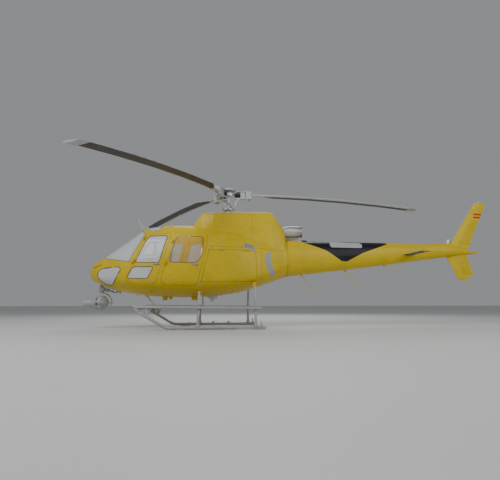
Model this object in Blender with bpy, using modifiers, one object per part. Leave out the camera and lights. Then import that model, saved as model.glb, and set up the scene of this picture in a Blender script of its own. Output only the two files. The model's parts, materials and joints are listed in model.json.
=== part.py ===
import math

import bmesh
import bpy
from mathutils import Matrix, Vector

# All lengths are in metres. Stations run aft from the rotor mast, +Y is starboard,
# heights start at the ground under the skids.
MAST_X = -2.066
FIT = 0.0003
WALL = 0.040
GLASS_OUTER = 0.004
GLASS_INNER = 0.012
DOOR_GAP = 0.006
FLOOR_Z = 0.98
BULKHEAD_X = -0.66
FRAME_X = 1.56
SKIN_POINTS = 32
INNER_POINTS = 24

PORT = -1
STARBOARD = 1
SIDES = ((PORT, "left"), (STARBOARD, "right"))

# Fuselage sections: station, half width, top, bottom, height of the widest point,
# roundness of the upper half, roundness of the lower half.
FUSELAGE = (
    (-3.325, 0.06, 1.42, 1.30, 1.36, 2.0, 2.0),
    (-3.28, 0.20, 1.52, 1.19, 1.34, 2.0, 2.0),
    (-3.17, 0.34, 1.637, 1.11, 1.31, 2.1, 2.0),
    (-3.02, 0.48, 1.727, 1.035, 1.27, 2.1, 2.1),
    (-2.75, 0.65, 1.93, 0.935, 1.25, 2.2, 2.2),
    (-2.45, 0.775, 2.16, 0.868, 1.25, 2.25, 2.3),
    (-2.12, 0.87, 2.414, 0.818, 1.25, 2.3, 2.4),
    (-1.95, 0.90, 2.505, 0.80, 1.25, 2.4, 2.5),
    (-1.65, 0.925, 2.563, 0.777, 1.25, 2.5, 2.6),
    (-1.27, 0.935, 2.584, 0.762, 1.25, 2.6, 2.6),
    (-0.89, 0.935, 2.586, 0.757, 1.25, 2.6, 2.6),
    (-0.45, 0.925, 2.57, 0.776, 1.25, 2.6, 2.6),
    (0.0, 0.90, 2.52, 0.83, 1.26, 2.6, 2.5),
    (0.35, 0.86, 2.45, 0.895, 1.28, 2.6, 2.5),
    (0.67, 0.79, 2.37, 0.985, 1.32, 2.5, 2.4),
    (1.1, 0.63, 2.29, 1.135, 1.42, 2.4, 2.3),
    (1.4, 0.47, 2.30, 1.245, 1.58, 2.3, 2.2),
    (1.56, 0.40, 2.295, 1.305, 1.70, 2.2, 2.2),
)

# Tail boom sections: the same columns.
BOOM = (
    (1.5603, 0.40, 2.295, 1.305, 1.79, 2.2, 2.2),
    (2.1, 0.345, 2.265, 1.375, 1.82, 2.1, 2.1),
    (3.77, 0.265, 2.273, 1.58, 1.925, 2.0, 2.0),
    (5.7, 0.175, 2.27, 1.85, 2.06, 2.0, 2.0),
    (5.9, 0.17, 2.315, 1.875, 2.08, 2.0, 2.0),
    (6.37, 0.15, 2.326, 1.94, 2.09, 2.0, 2.0),
    (6.65, 0.11, 2.21, 1.985, 2.09, 2.0, 2.0),
    (6.91, 0.065, 2.133, 2.01, 2.075, 2.0, 2.0),
    (7.25, 0.02, 2.10, 2.055, 2.078, 2.0, 2.0),
)
BOOM_WALL = 0.025
BOOM_HOLLOW_END = 5.6

# Rotor cowling sections: station, top, half width at the top edge, half width at COWL_LOW_Z.
COWLING = (
    (-0.905, 2.56, 0.30, 0.66),
    (-0.64, 2.925, 0.33, 0.68),
    (0.0, 2.955, 0.345, 0.66),
    (0.55, 2.98, 0.345, 0.59),
    (1.05, 3.002, 0.325, 0.505),
    (1.12, 2.988, 0.321, 0.493),
    (1.175, 2.946, 0.316, 0.480),
    (1.31, 2.776, 0.30, 0.435),
    (1.464, 2.569, 0.28, 0.40),
    (1.52, 2.36, 0.26, 0.38),
)
COWL_LOW_Z = 2.0
COWL_WALL = 0.025

# Window outlines in side view, as station and height.
WINDSHIELD = ((-3.4, 1.77), (-2.321, 1.58), (-1.995, 2.275), (-2.125, 2.43), (-2.3, 2.9), (-3.4, 2.9))
CHIN_WINDOW = (
    (-3.092, 1.297), (-2.99, 1.429), (-2.565, 1.466), (-2.485, 1.415),
    (-2.69, 1.021), (-2.888, 1.064), (-3.015, 1.162),
)
LOWER_WINDOW = ((-2.347, 1.190), (-2.213, 1.462), (-1.735, 1.466), (-1.86, 1.182))
POST_HALF = 0.02
ROOF_WINDOW = ((-1.95, 0.16), (-1.90, 0.52), (-1.66, 0.57), (-1.60, 0.16))

# Doors and their windows, per side: the starboard centre pillar stands further aft.
PILLAR_SHIFT = {PORT: 0.0, STARBOARD: 0.29}
FRONT_WINDOW = ((-2.166, 1.562), (-1.90, 2.212), (-1.448, 2.238), (-1.612, 1.562))
REAR_WINDOW = ((-1.402, 1.575), (-1.234, 2.225), (-0.60, 2.235), (-0.615, 1.767), (-0.735, 1.575))
FRONT_DOOR = (
    (-2.20, 1.03), (-2.388, 1.172), (-2.254, 1.45),
    (-1.915, 2.365), (-1.344, 2.365), (-1.679, 1.03),
)
REAR_DOOR = ((-1.599, 1.03), (-1.263, 2.365), (-0.47, 2.365), (-0.565, 1.767), (-0.72, 1.03))
REAR_LEAN = 0.25
DOOR_TOP = (0.68, 2.30)
DOOR_BOTTOM = (0.86, 1.03)
LOCKER_DOOR = ((-0.637, 1.11), (-0.466, 1.905), (0.68, 1.918), (0.72, 1.145))

# Hinge lines: lower and upper point as station, distance out from the middle, height.
FRONT_HINGE = ((-2.20, 0.872, 1.608), (-1.992, 0.705, 2.172))
REAR_HINGE = ((-1.461, 0.962, 1.58), (-1.33, 0.85, 2.10))
LOCKER_HINGE = ((-0.162, 0.862, 1.902), (0.458, 0.778, 1.909))
LOCKER_SHEAR = 0.1355
KNUCKLE_R = 0.011
KNUCKLE_LENGTH = 0.034

# Landing gear.
SKID_Y = 1.107
SKID_R = 0.036
SHOE = 0.010
STEP_INNER_Y = 1.1375
STEP_WIDTH = 0.05
STEP_HEIGHT = 0.062
LEG_R = 0.030
# Skid centre line: station and height.
SKID_LINE = (
    (-2.075, 0.50), (-1.985, 0.395), (-1.90, 0.352), (-1.684, 0.228), (-1.523, 0.128),
    (-1.43, 0.075), (-1.34, 0.049), (-1.24, 0.046), (0.875, 0.046),
)
# Cross tubes: name, skid station, station at the belly, points of half the tube as
# distance out and height.
FRONT_TUBE = ((1.107, 0.05), (1.10, 0.50), (1.03, 0.74), (0.86, 0.86), (0.70, 0.88), (0.0, 0.88))
REAR_TUBE = ((1.107, 0.05), (1.10, 0.50), (1.05, 0.80), (0.92, 1.0), (0.72, 1.09), (0.0, 1.10))
CROSS_TUBES = (
    ("cross_tube_front", -0.67, -0.658, FRONT_TUBE),
    ("cross_tube_rear", 0.672, 0.655, REAR_TUBE),
)

# Main rotor, in a frame whose origin is the hub centre and whose Z is the rotor axis.
HUB_Z = 3.47
MAST_TILT = math.radians(1.24)
ROTOR_R = 5.345
BLADE_ROOT = 0.60
BLADE_CHORD = 0.35
BLADE_DROOP = 0.31
BLADES = 3
SLEEVE_WIDTH = 0.15
PLATE_Z = 0.0853
PLATE = 0.018

# Tail rotor and fins.
TAIL_HUB = (6.33, 0.37, 2.12)
TAIL_ROTOR_R = 0.93
TAIL_CHORD = 0.185
# Fin slices: height, leading edge, trailing edge, thickness.
UPPER_FIN = ((2.07, 6.225, 6.876, 0.11), (3.537, 7.193, 7.581, 0.06))
LOWER_FIN = (
    (2.05, 6.186, 6.870, 0.085), (1.41, 6.503, 7.062, 0.07),
    (1.324, 6.546, 6.888, 0.055), (1.248, 6.715, 6.745, 0.02),
)
# Stabiliser slices: distance out, leading edge, trailing edge.
STABILISER = ((-1.27, 4.883, 5.182), (0.0, 4.825, 5.125), (1.27, 4.883, 5.182))
STABILISER_Z = 1.945

# Camera ball under the nose.
BALL = (-3.05, 0.0, 0.62)
BALL_R = 0.185

# Colours: base colour, roughness, metallic.
YELLOW = ((0.62, 0.47, 0.02, 1.0), 0.42, 0.0)
GREY = ((0.56, 0.57, 0.58, 1.0), 0.45, 0.0)
STEEL = ((0.62, 0.63, 0.64, 1.0), 0.35, 1.0)
DARK = ((0.06, 0.06, 0.065, 1.0), 0.7, 0.0)
PANE = ((0.62, 0.63, 0.65, 0.4), 0.1, 0.0)
CLOTH = ((0.10, 0.11, 0.13, 1.0), 0.9, 0.0)


# Clearing and collections
for old in list(bpy.data.objects):
    bpy.data.objects.remove(old, do_unlink=True)

parts = bpy.data.collections.new("helicopter")
cutters = bpy.data.collections.new("cutters")
bpy.context.scene.collection.children.link(parts)
bpy.context.scene.collection.children.link(cutters)
cutters.hide_render = True


def empty(name, place, parent=None, turn=(0.0, 0.0, 0.0)):
    pivot = bpy.data.objects.new(name, None)
    pivot.location = place
    pivot.rotation_euler = turn
    pivot.parent = parent
    parts.objects.link(pivot)
    return pivot


airframe = empty("airframe", (MAST_X, 0.0, 0.0))


def material(name, finish):
    colour, roughness, metallic = finish
    made = bpy.data.materials.get(name) or bpy.data.materials.new(name)
    made.use_nodes = True
    shader = made.node_tree.nodes["Principled BSDF"]
    shader.inputs["Base Color"].default_value = colour
    shader.inputs["Roughness"].default_value = roughness
    shader.inputs["Metallic"].default_value = metallic
    made.diffuse_color = colour
    return made


# Mesh helpers
def mesh_of(bm, name):
    bmesh.ops.recalc_face_normals(bm, faces=bm.faces[:])
    mesh = bpy.data.meshes.new(name)
    bm.to_mesh(mesh)
    bm.free()
    return mesh


def add_part(name, mesh, finish, pivot=None, smooth=None):
    """A named piece; a moving one hangs on its joint's empty."""
    obj = bpy.data.objects.new(name, mesh)
    parts.objects.link(obj)
    obj.parent = pivot or airframe
    if pivot is not None and not pivot.get("own_frame"):
        obj.matrix_parent_inverse = Matrix.Translation(-Vector(pivot.location))
    obj.data.materials.append(material(name, finish))
    if smooth is not None:
        mesh.shade_smooth()
        mesh.set_sharp_from_angle(angle=math.radians(smooth))
    return obj


def add_cutter(name, mesh, pivot=None):
    obj = bpy.data.objects.new(name, mesh)
    cutters.objects.link(obj)
    obj.parent = pivot or airframe
    obj.hide_render = True
    obj.display_type = "WIRE"
    return obj


def boolean(obj, operation, other):
    modifier = obj.modifiers.new(operation.lower() + "_" + other.name, "BOOLEAN")
    modifier.operation = operation
    modifier.solver = "EXACT"
    modifier.object = other


def is_flat(face):
    low, _, high, last = [vert.co for vert in face.verts]
    normal = (high - low).cross(last - face.verts[1].co).normalized()
    return abs(normal.dot(face.verts[1].co - low)) < 1e-6


def loft(name, rings):
    bm = bmesh.new()
    rows = [[bm.verts.new(point) for point in ring] for ring in rings]
    for low, high in zip(rows, rows[1:]):
        count = len(low)
        for k in range(count):
            bm.faces.new((low[k], low[(k + 1) % count], high[(k + 1) % count], high[k]))
    bent = [face for face in bm.faces if not is_flat(face)]
    bmesh.ops.triangulate(bm, faces=bent, quad_method="FIXED")
    bm.faces.new(rows[0])
    bm.faces.new(rows[-1])
    return mesh_of(bm, name)


def prism(name, outline, low, high, axis="y"):
    """An outline in side view, or in plan for axis z, drawn out from low to high."""
    def at(point, depth):
        return (point[0], depth, point[1]) if axis == "y" else (point[0], point[1], depth)

    return loft(name, [[at(p, low) for p in outline], [at(p, high) for p in outline]])


def box(name, low, high):
    bm = bmesh.new()
    bmesh.ops.create_cube(bm, size=1.0)
    size = [b - a for a, b in zip(low, high)]
    middle = [(a + b) / 2 for a, b in zip(low, high)]
    bmesh.ops.scale(bm, vec=size, verts=bm.verts)
    bmesh.ops.translate(bm, vec=middle, verts=bm.verts)
    return mesh_of(bm, name)


def bar(name, start, end, width, depth, across=(0.0, 1.0, 0.0)):
    """A straight square bar from start to end, width measured along across."""
    start = Vector(start)
    along = Vector(end) - start
    third = along.normalized().cross(Vector(across)).normalized()
    side = third.cross(along.normalized())
    turn = Matrix((along.normalized(), side, third)).transposed().to_4x4()
    bm = bmesh.new()
    bmesh.ops.create_cube(bm, size=1.0)
    bmesh.ops.scale(bm, vec=(along.length, width, depth), verts=bm.verts)
    bmesh.ops.transform(bm, matrix=Matrix.Translation(start + along / 2) @ turn, verts=bm.verts)
    return mesh_of(bm, name)


def rod(name, start, end, radius, end_radius=None, sides=12):
    start = Vector(start)
    along = Vector(end) - start
    turn = along.to_track_quat("Z", "Y").to_matrix().to_4x4()
    bm = bmesh.new()
    bmesh.ops.create_cone(
        bm, cap_ends=True, segments=sides, radius1=radius,
        radius2=radius if end_radius is None else end_radius, depth=along.length,
    )
    bmesh.ops.transform(bm, matrix=Matrix.Translation(start + along / 2) @ turn, verts=bm.verts)
    return mesh_of(bm, name)


def tube(name, points, radius, resolution=2):
    """A bent tube as a mesh: a poly curve with filled caps, its caps welded."""
    curve = bpy.data.curves.new(name, "CURVE")
    curve.dimensions = "3D"
    curve.bevel_depth = radius
    curve.bevel_resolution = resolution
    curve.use_fill_caps = True
    spline = curve.splines.new("POLY")
    spline.points.add(len(points) - 1)
    for point, place in zip(spline.points, points):
        point.co = (*place, 1.0)
    guide = bpy.data.objects.new(name, curve)
    cutters.objects.link(guide)
    bpy.context.view_layer.update()
    graph = bpy.context.evaluated_depsgraph_get()
    mesh = bpy.data.meshes.new_from_object(guide.evaluated_get(graph))
    bpy.data.objects.remove(guide)
    bm = bmesh.new()
    bm.from_mesh(mesh)
    bmesh.ops.remove_doubles(bm, verts=bm.verts, dist=0.0001)
    return mesh_of(bm, name)


def trimmed(mesh, point, normal):
    """The mesh without what lies beyond a plane, closed again along the cut."""
    bm = bmesh.new()
    bm.from_mesh(mesh)
    geometry = bm.verts[:] + bm.edges[:] + bm.faces[:]
    bmesh.ops.bisect_plane(bm, geom=geometry, plane_co=point, plane_no=normal, clear_outer=True)
    rim = [edge for edge in bm.edges if edge.is_boundary]
    bmesh.ops.holes_fill(bm, edges=rim, sides=0)
    return mesh_of(bm, mesh.name)


# Outlines
def rounded(outline, radius, steps=3):
    """The outline with each corner turned into a short arc; radius is one value or one a corner."""
    points = [Vector(p) for p in outline]
    radii = radius if isinstance(radius, tuple) else (radius,) * len(points)
    result = []
    for k, corner in enumerate(points):
        before = points[k - 1] - corner
        after = points[(k + 1) % len(points)] - corner
        reach = min(radii[k], before.length * 0.45, after.length * 0.45)
        first = corner + before.normalized() * reach
        last = corner + after.normalized() * reach
        for step in range(steps + 1):
            t = step / steps
            result.append(tuple(first * (1 - t) ** 2 + corner * (2 * t * (1 - t)) + last * t ** 2))
    return result


def shrunk(outline, distance):
    """The outline moved inwards by a distance along its whole edge."""
    points = [Vector(p) for p in outline]
    area = sum(a.x * b.y - b.x * a.y for a, b in zip(points, points[1:] + points[:1]))
    sign = 1.0 if area > 0 else -1.0
    result = []
    for k, corner in enumerate(points):
        before = (corner - points[k - 1]).normalized()
        after = (points[(k + 1) % len(points)] - corner).normalized()
        inward_a = Vector((-before.y, before.x)) * sign
        inward_b = Vector((-after.y, after.x)) * sign
        middle = (inward_a + inward_b) / (1.0 + inward_a.dot(inward_b))
        result.append(tuple(corner + middle * distance))
    return result


def shifted(outline, first, distance):
    """The outline with the listed corners moved aft."""
    return tuple((x + distance, z) if k in first else (x, z) for k, (x, z) in enumerate(outline))


# Sections
def section_values(table, x):
    """The columns of a section table at one station, on a smooth curve through its rows."""
    last = len(table) - 1
    k = max(0, min(last - 1, sum(1 for row in table[1:] if row[0] <= x)))
    low, high = table[k], table[k + 1]
    before, after = table[max(0, k - 1)], table[min(last, k + 2)]
    span = high[0] - low[0]
    t = (x - low[0]) / span
    values = []
    for column in range(1, len(low)):
        slope_low = (high[column] - before[column]) / (high[0] - before[0]) * span
        slope_high = (after[column] - low[column]) / (after[0] - low[0]) * span
        values.append(
            (2 * t ** 3 - 3 * t ** 2 + 1) * low[column] + (t ** 3 - 2 * t ** 2 + t) * slope_low
            + (3 * t ** 2 - 2 * t ** 3) * high[column] + (t ** 3 - t ** 2) * slope_high
        )
    return values


def hull_ring(table, x, inset, place_x=None):
    half, top, bottom, middle, upper, lower = section_values(table, x)
    count = SKIN_POINTS if table is FUSELAGE and inset < WALL else INNER_POINTS
    ring = []
    for k in range(count):
        angle = 2 * math.pi * k / count
        c, s = math.cos(angle), math.sin(angle)
        power = upper if s >= 0 else lower
        height = (top - inset - middle) if s >= 0 else (middle - bottom - inset)
        y = (half - inset) * math.copysign(abs(c) ** (2 / power), c)
        z = middle + height * math.copysign(abs(s) ** (2 / power), s)
        ring.append((x if place_x is None else place_x, y, z))
    return ring


def stations(first, last, table, step=0.3):
    """Stations from first to last: the table's own rows between them, with long gaps halved."""
    rows = [first] + [row[0] for row in table if first + 0.01 < row[0] < last - 0.01] + [last]
    result = [rows[0]]
    for high in rows[1:]:
        low = result[-1]
        pieces = max(1, round((high - low) / step))
        result += [low + (high - low) * (n + 1) / pieces for n in range(pieces)]
    return result


def fuselage_loft(name, inset=0.0, first=FUSELAGE[0][0], last=FRAME_X):
    rings = [hull_ring(FUSELAGE, x, inset) for x in stations(first, last, FUSELAGE)]
    return loft(name, rings)


def boom_loft(name, inset=0.0, first=BOOM[0][0], last=BOOM[-1][0], beyond=0.0):
    rings = [hull_ring(BOOM, x, inset) for x in stations(first, last, BOOM, 0.7)]
    if beyond:
        rings.insert(0, hull_ring(BOOM, first, inset, first - beyond))
    return loft(name, rings)


# Shared cutters: the fuselage and the boom grown by the fitting gap, and the cabin's inner face
skin_clear = add_cutter("skin_clearance", fuselage_loft("skin_clearance", -FIT))
inner_face = add_cutter("inner_face", fuselage_loft("inner_face", WALL, -3.2, 1.5))
boom_clear = add_cutter("boom_clearance", boom_loft("boom_clearance", -FIT, beyond=0.02))


def side_prism(name, outline, side, inner=0.3, outer=1.25):
    return prism(name, outline, side * inner, side * outer)


def skin_reach(z):
    """Roughly how far out the cabin side stands at a height."""
    return 0.92 - 0.30 * max(0.0, z - 1.55) ** 1.5


def door_prism(name, outline, side, gap):
    """A door's outline drawn outwards, each edge leaning the way the door swings clear."""
    front = min(x for x, _ in outline)
    rear = max(x for x, _ in outline)
    rings = []
    for depth in (0.3, 1.25):
        rings.append([
            (x + REAR_LEAN * (x - front) / (rear - front) * (depth - skin_reach(z)), side * depth, z)
            for x, z in outline
        ])
    mesh = loft(name, rings)
    top_y, top_z = DOOR_TOP
    low_y, low_z = DOOR_BOTTOM
    mesh = trimmed(mesh, (0, side * top_y, top_z - gap), (0, -side * 0.9, 1.0))
    return trimmed(mesh, (0, side * low_y, low_z + gap), (0, -side * 0.7, -1.0))


def locker_prism(name, outline, side):
    """The locker door's outline drawn outwards, leaning aft so its edges follow its swing."""
    rings = []
    for depth in (0.5, 1.25):
        rings.append([
            (x + LOCKER_SHEAR * (depth - 0.90 + 0.155 * (x + 0.637)), side * depth, z)
            for x, z in outline
        ])
    return loft(name, rings)


def pane(name, outline, side, finish=PANE, pivot=None, plan=False):
    """A window pane set just below the skin."""
    mesh = fuselage_loft(name, GLASS_OUTER)
    obj = add_part(name, mesh, finish, pivot)
    boolean(obj, "DIFFERENCE", glass_back)
    outline = shrunk(outline, FIT)
    if plan:
        shape = prism(name + "_cut", [(x, side * y) for x, y in outline], 2.0, 2.9, "z")
    elif outline_reaches_post(name):
        shape = side_prism(name + "_cut", outline, side, POST_HALF + FIT)
    else:
        shape = side_prism(name + "_cut", outline, side)
    boolean(obj, "INTERSECT", add_cutter(name + "_cut", shape))
    return obj


def outline_reaches_post(name):
    return name.startswith("windshield")


glass_back = add_cutter("glass_back", fuselage_loft("glass_back", GLASS_INNER))


# Cabin shell
def hinge_points(line, side):
    return [Vector((x, side * y, z)) for x, y, z in line]


def square_to(target, side, along):
    """The leaf's direction on this side, made square to the hinge line."""
    target = Vector((target[0], side * target[1], target[2]))
    return target - along * target.dot(along)


def hinge_blocks(line, side, towards_frame, towards_door, places):
    """Knuckles on the hinge line: (fixed meshes, moving meshes)."""
    low, high = hinge_points(line, side)
    along = (high - low).normalized()
    fixed, moving = [], []
    for n, t in enumerate(places):
        middle = low + (high - low) * t
        half = along * (KNUCKLE_LENGTH / 2)
        step = along * (KNUCKLE_LENGTH + 0.0006)
        leaf = KNUCKLE_LENGTH * 0.999
        frame_target = square_to(towards_frame, side, along)
        door_target = square_to(towards_door, side, along)
        moving.append(rod("knuckle", middle - half, middle + half, KNUCKLE_R, sides=8))
        moving.append(bar("leaf", middle, middle + door_target, leaf, 0.010, along))
        for shift in (-step, step):
            centre = middle + shift
            fixed.append(rod("knuckle", centre - half, centre + half, KNUCKLE_R, sides=8))
            fixed.append(bar("leaf", centre, centre + frame_target, leaf, 0.010, along))
    return fixed, moving


# The hull is three solids: the cabin's shell, the belly and floor under it, and the body
# aft of the bulkhead. They meet along the belly's panel line and at the bulkhead.
def hull_part(name, low, high):
    """The part of the hull inside a box."""
    obj = add_part(name, fuselage_loft(name), YELLOW, smooth=35)
    boolean(obj, "INTERSECT", add_cutter(name + "_extent", box(name + "_extent", low, high)))
    return obj


cabin = hull_part("cabin_shell", (-3.5, -1.2, FLOOR_Z + FIT), (BULKHEAD_X - FIT, 1.2, 3.0))
cavity = fuselage_loft("cabin_cavity", WALL, -3.2, BULKHEAD_X + 0.02)
boolean(cabin, "DIFFERENCE", add_cutter("cabin_cavity", cavity))
belly = hull_part("belly_structure", (-3.5, -1.2, 0.5), (BULKHEAD_X - FIT, 1.2, FLOOR_Z))
body = hull_part("rear_body", (BULKHEAD_X, -1.2, 0.5), (2.0, 1.2, 3.0))

# The bay behind the lockers is open to the boom.
bay = add_cutter(
    "rear_bay",
    loft("rear_bay", [
        hull_ring(FUSELAGE, min(x, FRAME_X), WALL, x)
        for x in (0.80, 0.95, 1.1, 1.25, 1.4, FRAME_X - 0.001, 1.62)
    ]),
)
boolean(body, "DIFFERENCE", bay)

for side, word in SIDES:
    locker = add_cutter("locker_space_" + word, fuselage_loft("locker_space_" + word, WALL, -0.58, 0.70))
    low_y, high_y = sorted((side * 0.42, side * 1.2))
    room = add_cutter("locker_box_" + word, box("locker_box", (-1.0, low_y, 1.20), (1.0, high_y, 1.86)))
    boolean(locker, "INTERSECT", room)
    boolean(body, "DIFFERENCE", locker)
    mouth = locker_prism("locker_mouth_" + word, rounded(LOCKER_DOOR, 0.04), side)
    boolean(body, "DIFFERENCE", add_cutter("locker_mouth_" + word, mouth))
    for piece, outline in (("windshield", WINDSHIELD), ("chin_window", CHIN_WINDOW)):
        radius = 0.03 if piece == "windshield" else 0.06
        inner = POST_HALF if piece == "windshield" else 0.3
        hole = side_prism(piece + "_hole_" + word, rounded(outline, radius), side, inner)
        boolean(cabin, "DIFFERENCE", add_cutter(piece + "_hole_" + word, hole))
        pane(piece + "_" + word, rounded(outline, radius), side)
    roof = [(x, side * y) for x, y in rounded(ROOF_WINDOW, 0.03)]
    roof_hole = prism("roof_hole", roof, 2.0, 2.9, "z")
    boolean(cabin, "DIFFERENCE", add_cutter("roof_hole_" + word, roof_hole))
    pane("roof_window_" + word, rounded(ROOF_WINDOW, 0.03), side, plan=True)


# Doors
def add_door(name, outline, side, hinge, line_places, windows, corner, frame_leaf, door_leaf):
    low, high = hinge_points(hinge, side)
    pivot = empty(name + "_hinge", (low + high) / 2, airframe)
    opening = door_prism(name + "_opening", rounded(outline, corner, 4), side, 0.0)
    opening = add_cutter(name + "_opening", opening)
    boolean(cabin, "DIFFERENCE", opening)
    if max(x for x, _ in outline) > BULKHEAD_X:
        boolean(body, "DIFFERENCE", opening)
    door = add_part(name, fuselage_loft(name), YELLOW, pivot, smooth=35)
    boolean(door, "DIFFERENCE", inner_face)
    panel = door_prism(name + "_panel", rounded(shrunk(outline, DOOR_GAP), corner, 4), side, DOOR_GAP)
    boolean(door, "INTERSECT", add_cutter(name + "_panel", panel))
    for n, (window, radius) in enumerate(windows):
        hole = side_prism(name + "_hole_%d" % n, rounded(window, radius), side)
        boolean(door, "DIFFERENCE", add_cutter(name + "_hole_%d" % n, hole))
        pane(name + ("_glass", "_lower_glass")[n], rounded(window, radius), side, pivot=pivot)
    fixed, moving = hinge_blocks(hinge, side, frame_leaf, door_leaf, line_places)
    for n, mesh in enumerate(fixed):
        boolean(cabin, "UNION", add_cutter(name + "_fixed_%d" % n, mesh))
    for n, mesh in enumerate(moving):
        boolean(door, "UNION", add_cutter(name + "_moving_%d" % n, mesh))


for side, word in SIDES:
    shift = PILLAR_SHIFT[side]
    front_outline = shifted(FRONT_DOOR, (4, 5), shift)
    front_window = shifted(FRONT_WINDOW, (2, 3), shift)
    rear_outline = shifted(REAR_DOOR, (0, 1), shift)
    rear_window = shifted(REAR_WINDOW, (0, 1), shift)
    rear_hinge = tuple((x + shift, y, z) for x, y, z in REAR_HINGE)
    add_door(
        "door_front_" + word, front_outline, side, FRONT_HINGE, (0.0, 1.0),
        ((front_window, 0.06), (LOWER_WINDOW, (0.09, 0.06, 0.06, 0.06))),
        (0.12, 0.10, 0.10, 0.10, 0.10, 0.12),
        (-0.035, -0.080, 0.0), (0.038, -0.060, 0.0),
    )
    add_door(
        "door_rear_" + word, rear_outline, side, rear_hinge, (0.0, 1.0),
        ((rear_window, 0.09),), (0.20, 0.10, 0.12, 0.12, 0.12),
        (-0.030, -0.070, 0.0), (0.038, -0.055, 0.0),
    )
    low, high = hinge_points(LOCKER_HINGE, side)
    pivot = empty("locker_door_%s_hinge" % word, (low + high) / 2, airframe)
    name = "locker_door_" + word
    locker_door = add_part(name, fuselage_loft(name), YELLOW, pivot, smooth=35)
    boolean(locker_door, "DIFFERENCE", inner_face)
    panel = locker_prism(name + "_panel", rounded(shrunk(LOCKER_DOOR, DOOR_GAP), 0.04), side)
    boolean(locker_door, "INTERSECT", add_cutter(name + "_panel", panel))
    fixed, moving = hinge_blocks(
        LOCKER_HINGE, side, (0.0, -0.045, 0.035), (0.0, -0.030, -0.030), (0.0, 1.0)
    )
    for n, mesh in enumerate(fixed):
        boolean(body, "UNION", add_cutter(name + "_fixed_%d" % n, mesh))
    for n, mesh in enumerate(moving):
        boolean(locker_door, "UNION", add_cutter(name + "_moving_%d" % n, mesh))


# Seats and instrument console
SEAT_SIDE = (
    (-1.95, FLOOR_Z + FIT), (-1.99, 1.24), (-1.95, 1.31), (-1.62, 1.28), (-1.53, 1.93),
    (-1.49, 1.97), (-1.43, 1.95), (-1.46, 1.22), (-1.52, FLOOR_Z + FIT),
)
BENCH_SIDE = (
    (-1.20, FLOOR_Z + FIT), (-1.23, 1.24), (-1.19, 1.31), (-0.88, 1.28), (-0.79, 1.58),
    (-0.75, 1.61), (-0.68, 1.60), (BULKHEAD_X - FIT, 1.20), (BULKHEAD_X - FIT, FLOOR_Z + FIT),
)
for side, word in SIDES:
    low_y, high_y = sorted((side * 0.14, side * 0.60))
    add_part("seat_front_" + word, prism("seat", SEAT_SIDE, low_y, high_y), CLOTH)
add_part("rear_bench", prism("rear_bench", BENCH_SIDE, -0.72, 0.72), CLOTH)
CONSOLE_SIDE = (
    (-2.70, FLOOR_Z + FIT), (-2.62, 1.66), (-2.50, 1.74), (-2.42, 1.45), (-2.30, 1.25),
    (-2.28, FLOOR_Z + FIT),
)
PANEL_SIDE = ((-2.62, 1.42), (-2.61, 1.67), (-2.50, 1.745), (-2.44, 1.42))
console = add_part("instrument_console", prism("console", CONSOLE_SIDE, -0.16, 0.16), DARK)
panel_block = prism("panel_block", PANEL_SIDE, -0.36, 0.36)
boolean(console, "UNION", add_cutter("panel_block", panel_block))

# Cowling, gearbox, engine and exhaust
# Exhaust duct: station and height of its middle, radius.
EXHAUST_LINE = (
    ((1.22, 2.47), 0.13), ((1.44, 2.49), 0.13), ((1.62, 2.515), 0.160), ((1.985, 2.525), 0.152),
)
EXHAUST_WALL = 0.012
EXHAUST_SIDES = 20
EXHAUST_LEAN = 0.012
ENGINE = ((0.36, -0.21, 2.1), (1.2197, 0.21, 2.74))


def cowl_ring(row, inset, low):
    x, top, edge, base = row
    top -= inset
    edge -= inset
    base -= inset
    half = (
        (base, low), (base, COWL_LOW_Z), (edge, top - 0.08), (edge - 0.025, top - 0.025),
        (edge - 0.09, top),
    )
    return [(x, y, z) for y, z in half] + [(x, -y, z) for y, z in reversed(half)]


def cowl_loft(name, inset, low=1.9):
    rows = [list(row) for row in COWLING]
    rows[0][0] += inset * 1.6
    rows[-1][0] -= inset
    return loft(name, [cowl_ring(row, inset, low) for row in rows])


def duct(grow):
    """Rings along the exhaust duct; its mouth leans slightly back."""
    rings = []
    for n, ((x, z), radius) in enumerate(EXHAUST_LINE):
        lean = EXHAUST_LEAN if n == len(EXHAUST_LINE) - 1 else 0.0
        ring = []
        for k in range(EXHAUST_SIDES):
            angle = 2 * math.pi * k / EXHAUST_SIDES
            y, rise = math.cos(angle), math.sin(angle)
            ring.append((x + lean * rise, (radius + grow) * y, z + (radius + grow) * rise))
        rings.append(ring)
    return rings


cowling = add_part("rotor_cowling", cowl_loft("rotor_cowling", 0.0), YELLOW, smooth=35)
boolean(cowling, "DIFFERENCE", add_cutter("cowling_space", cowl_loft("cowling_space", COWL_WALL, 1.8)))
boolean(cowling, "DIFFERENCE", skin_clear)
mast_hole = rod("mast_hole", (0, 0, 2.5), (0, 0, 3.2), 0.12, sides=20)
boolean(cowling, "DIFFERENCE", add_cutter("mast_hole", mast_hole))
exhaust_clearance = loft("exhaust_clearance", duct(FIT))
boolean(cowling, "DIFFERENCE", add_cutter("exhaust_clearance", exhaust_clearance))
exhaust = add_part("exhaust_duct", loft("exhaust_duct", duct(0.0)), GREY, smooth=35)
bore = duct(-EXHAUST_WALL)
bore[0] = [(x - 0.01, y, z) for x, y, z in bore[0]]
bore[-1] = [(x + 0.02, y, z) for x, y, z in bore[-1]]
boolean(exhaust, "DIFFERENCE", add_cutter("exhaust_bore", loft("exhaust_bore", bore)))
engine = add_part("engine_block", box("engine_block", *ENGINE), STEEL)
boolean(engine, "DIFFERENCE", skin_clear)
gearbox_body = rod("rotor_gearbox", (0, 0, 2.3), (0, 0, 2.90), 0.21, 0.16, 20)
gearbox = add_part("rotor_gearbox", gearbox_body, STEEL, smooth=35)
mast_boot = rod("mast_boot", (0, 0, 2.85), (0, 0, 3.040), 0.085, 0.070, 20)
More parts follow.
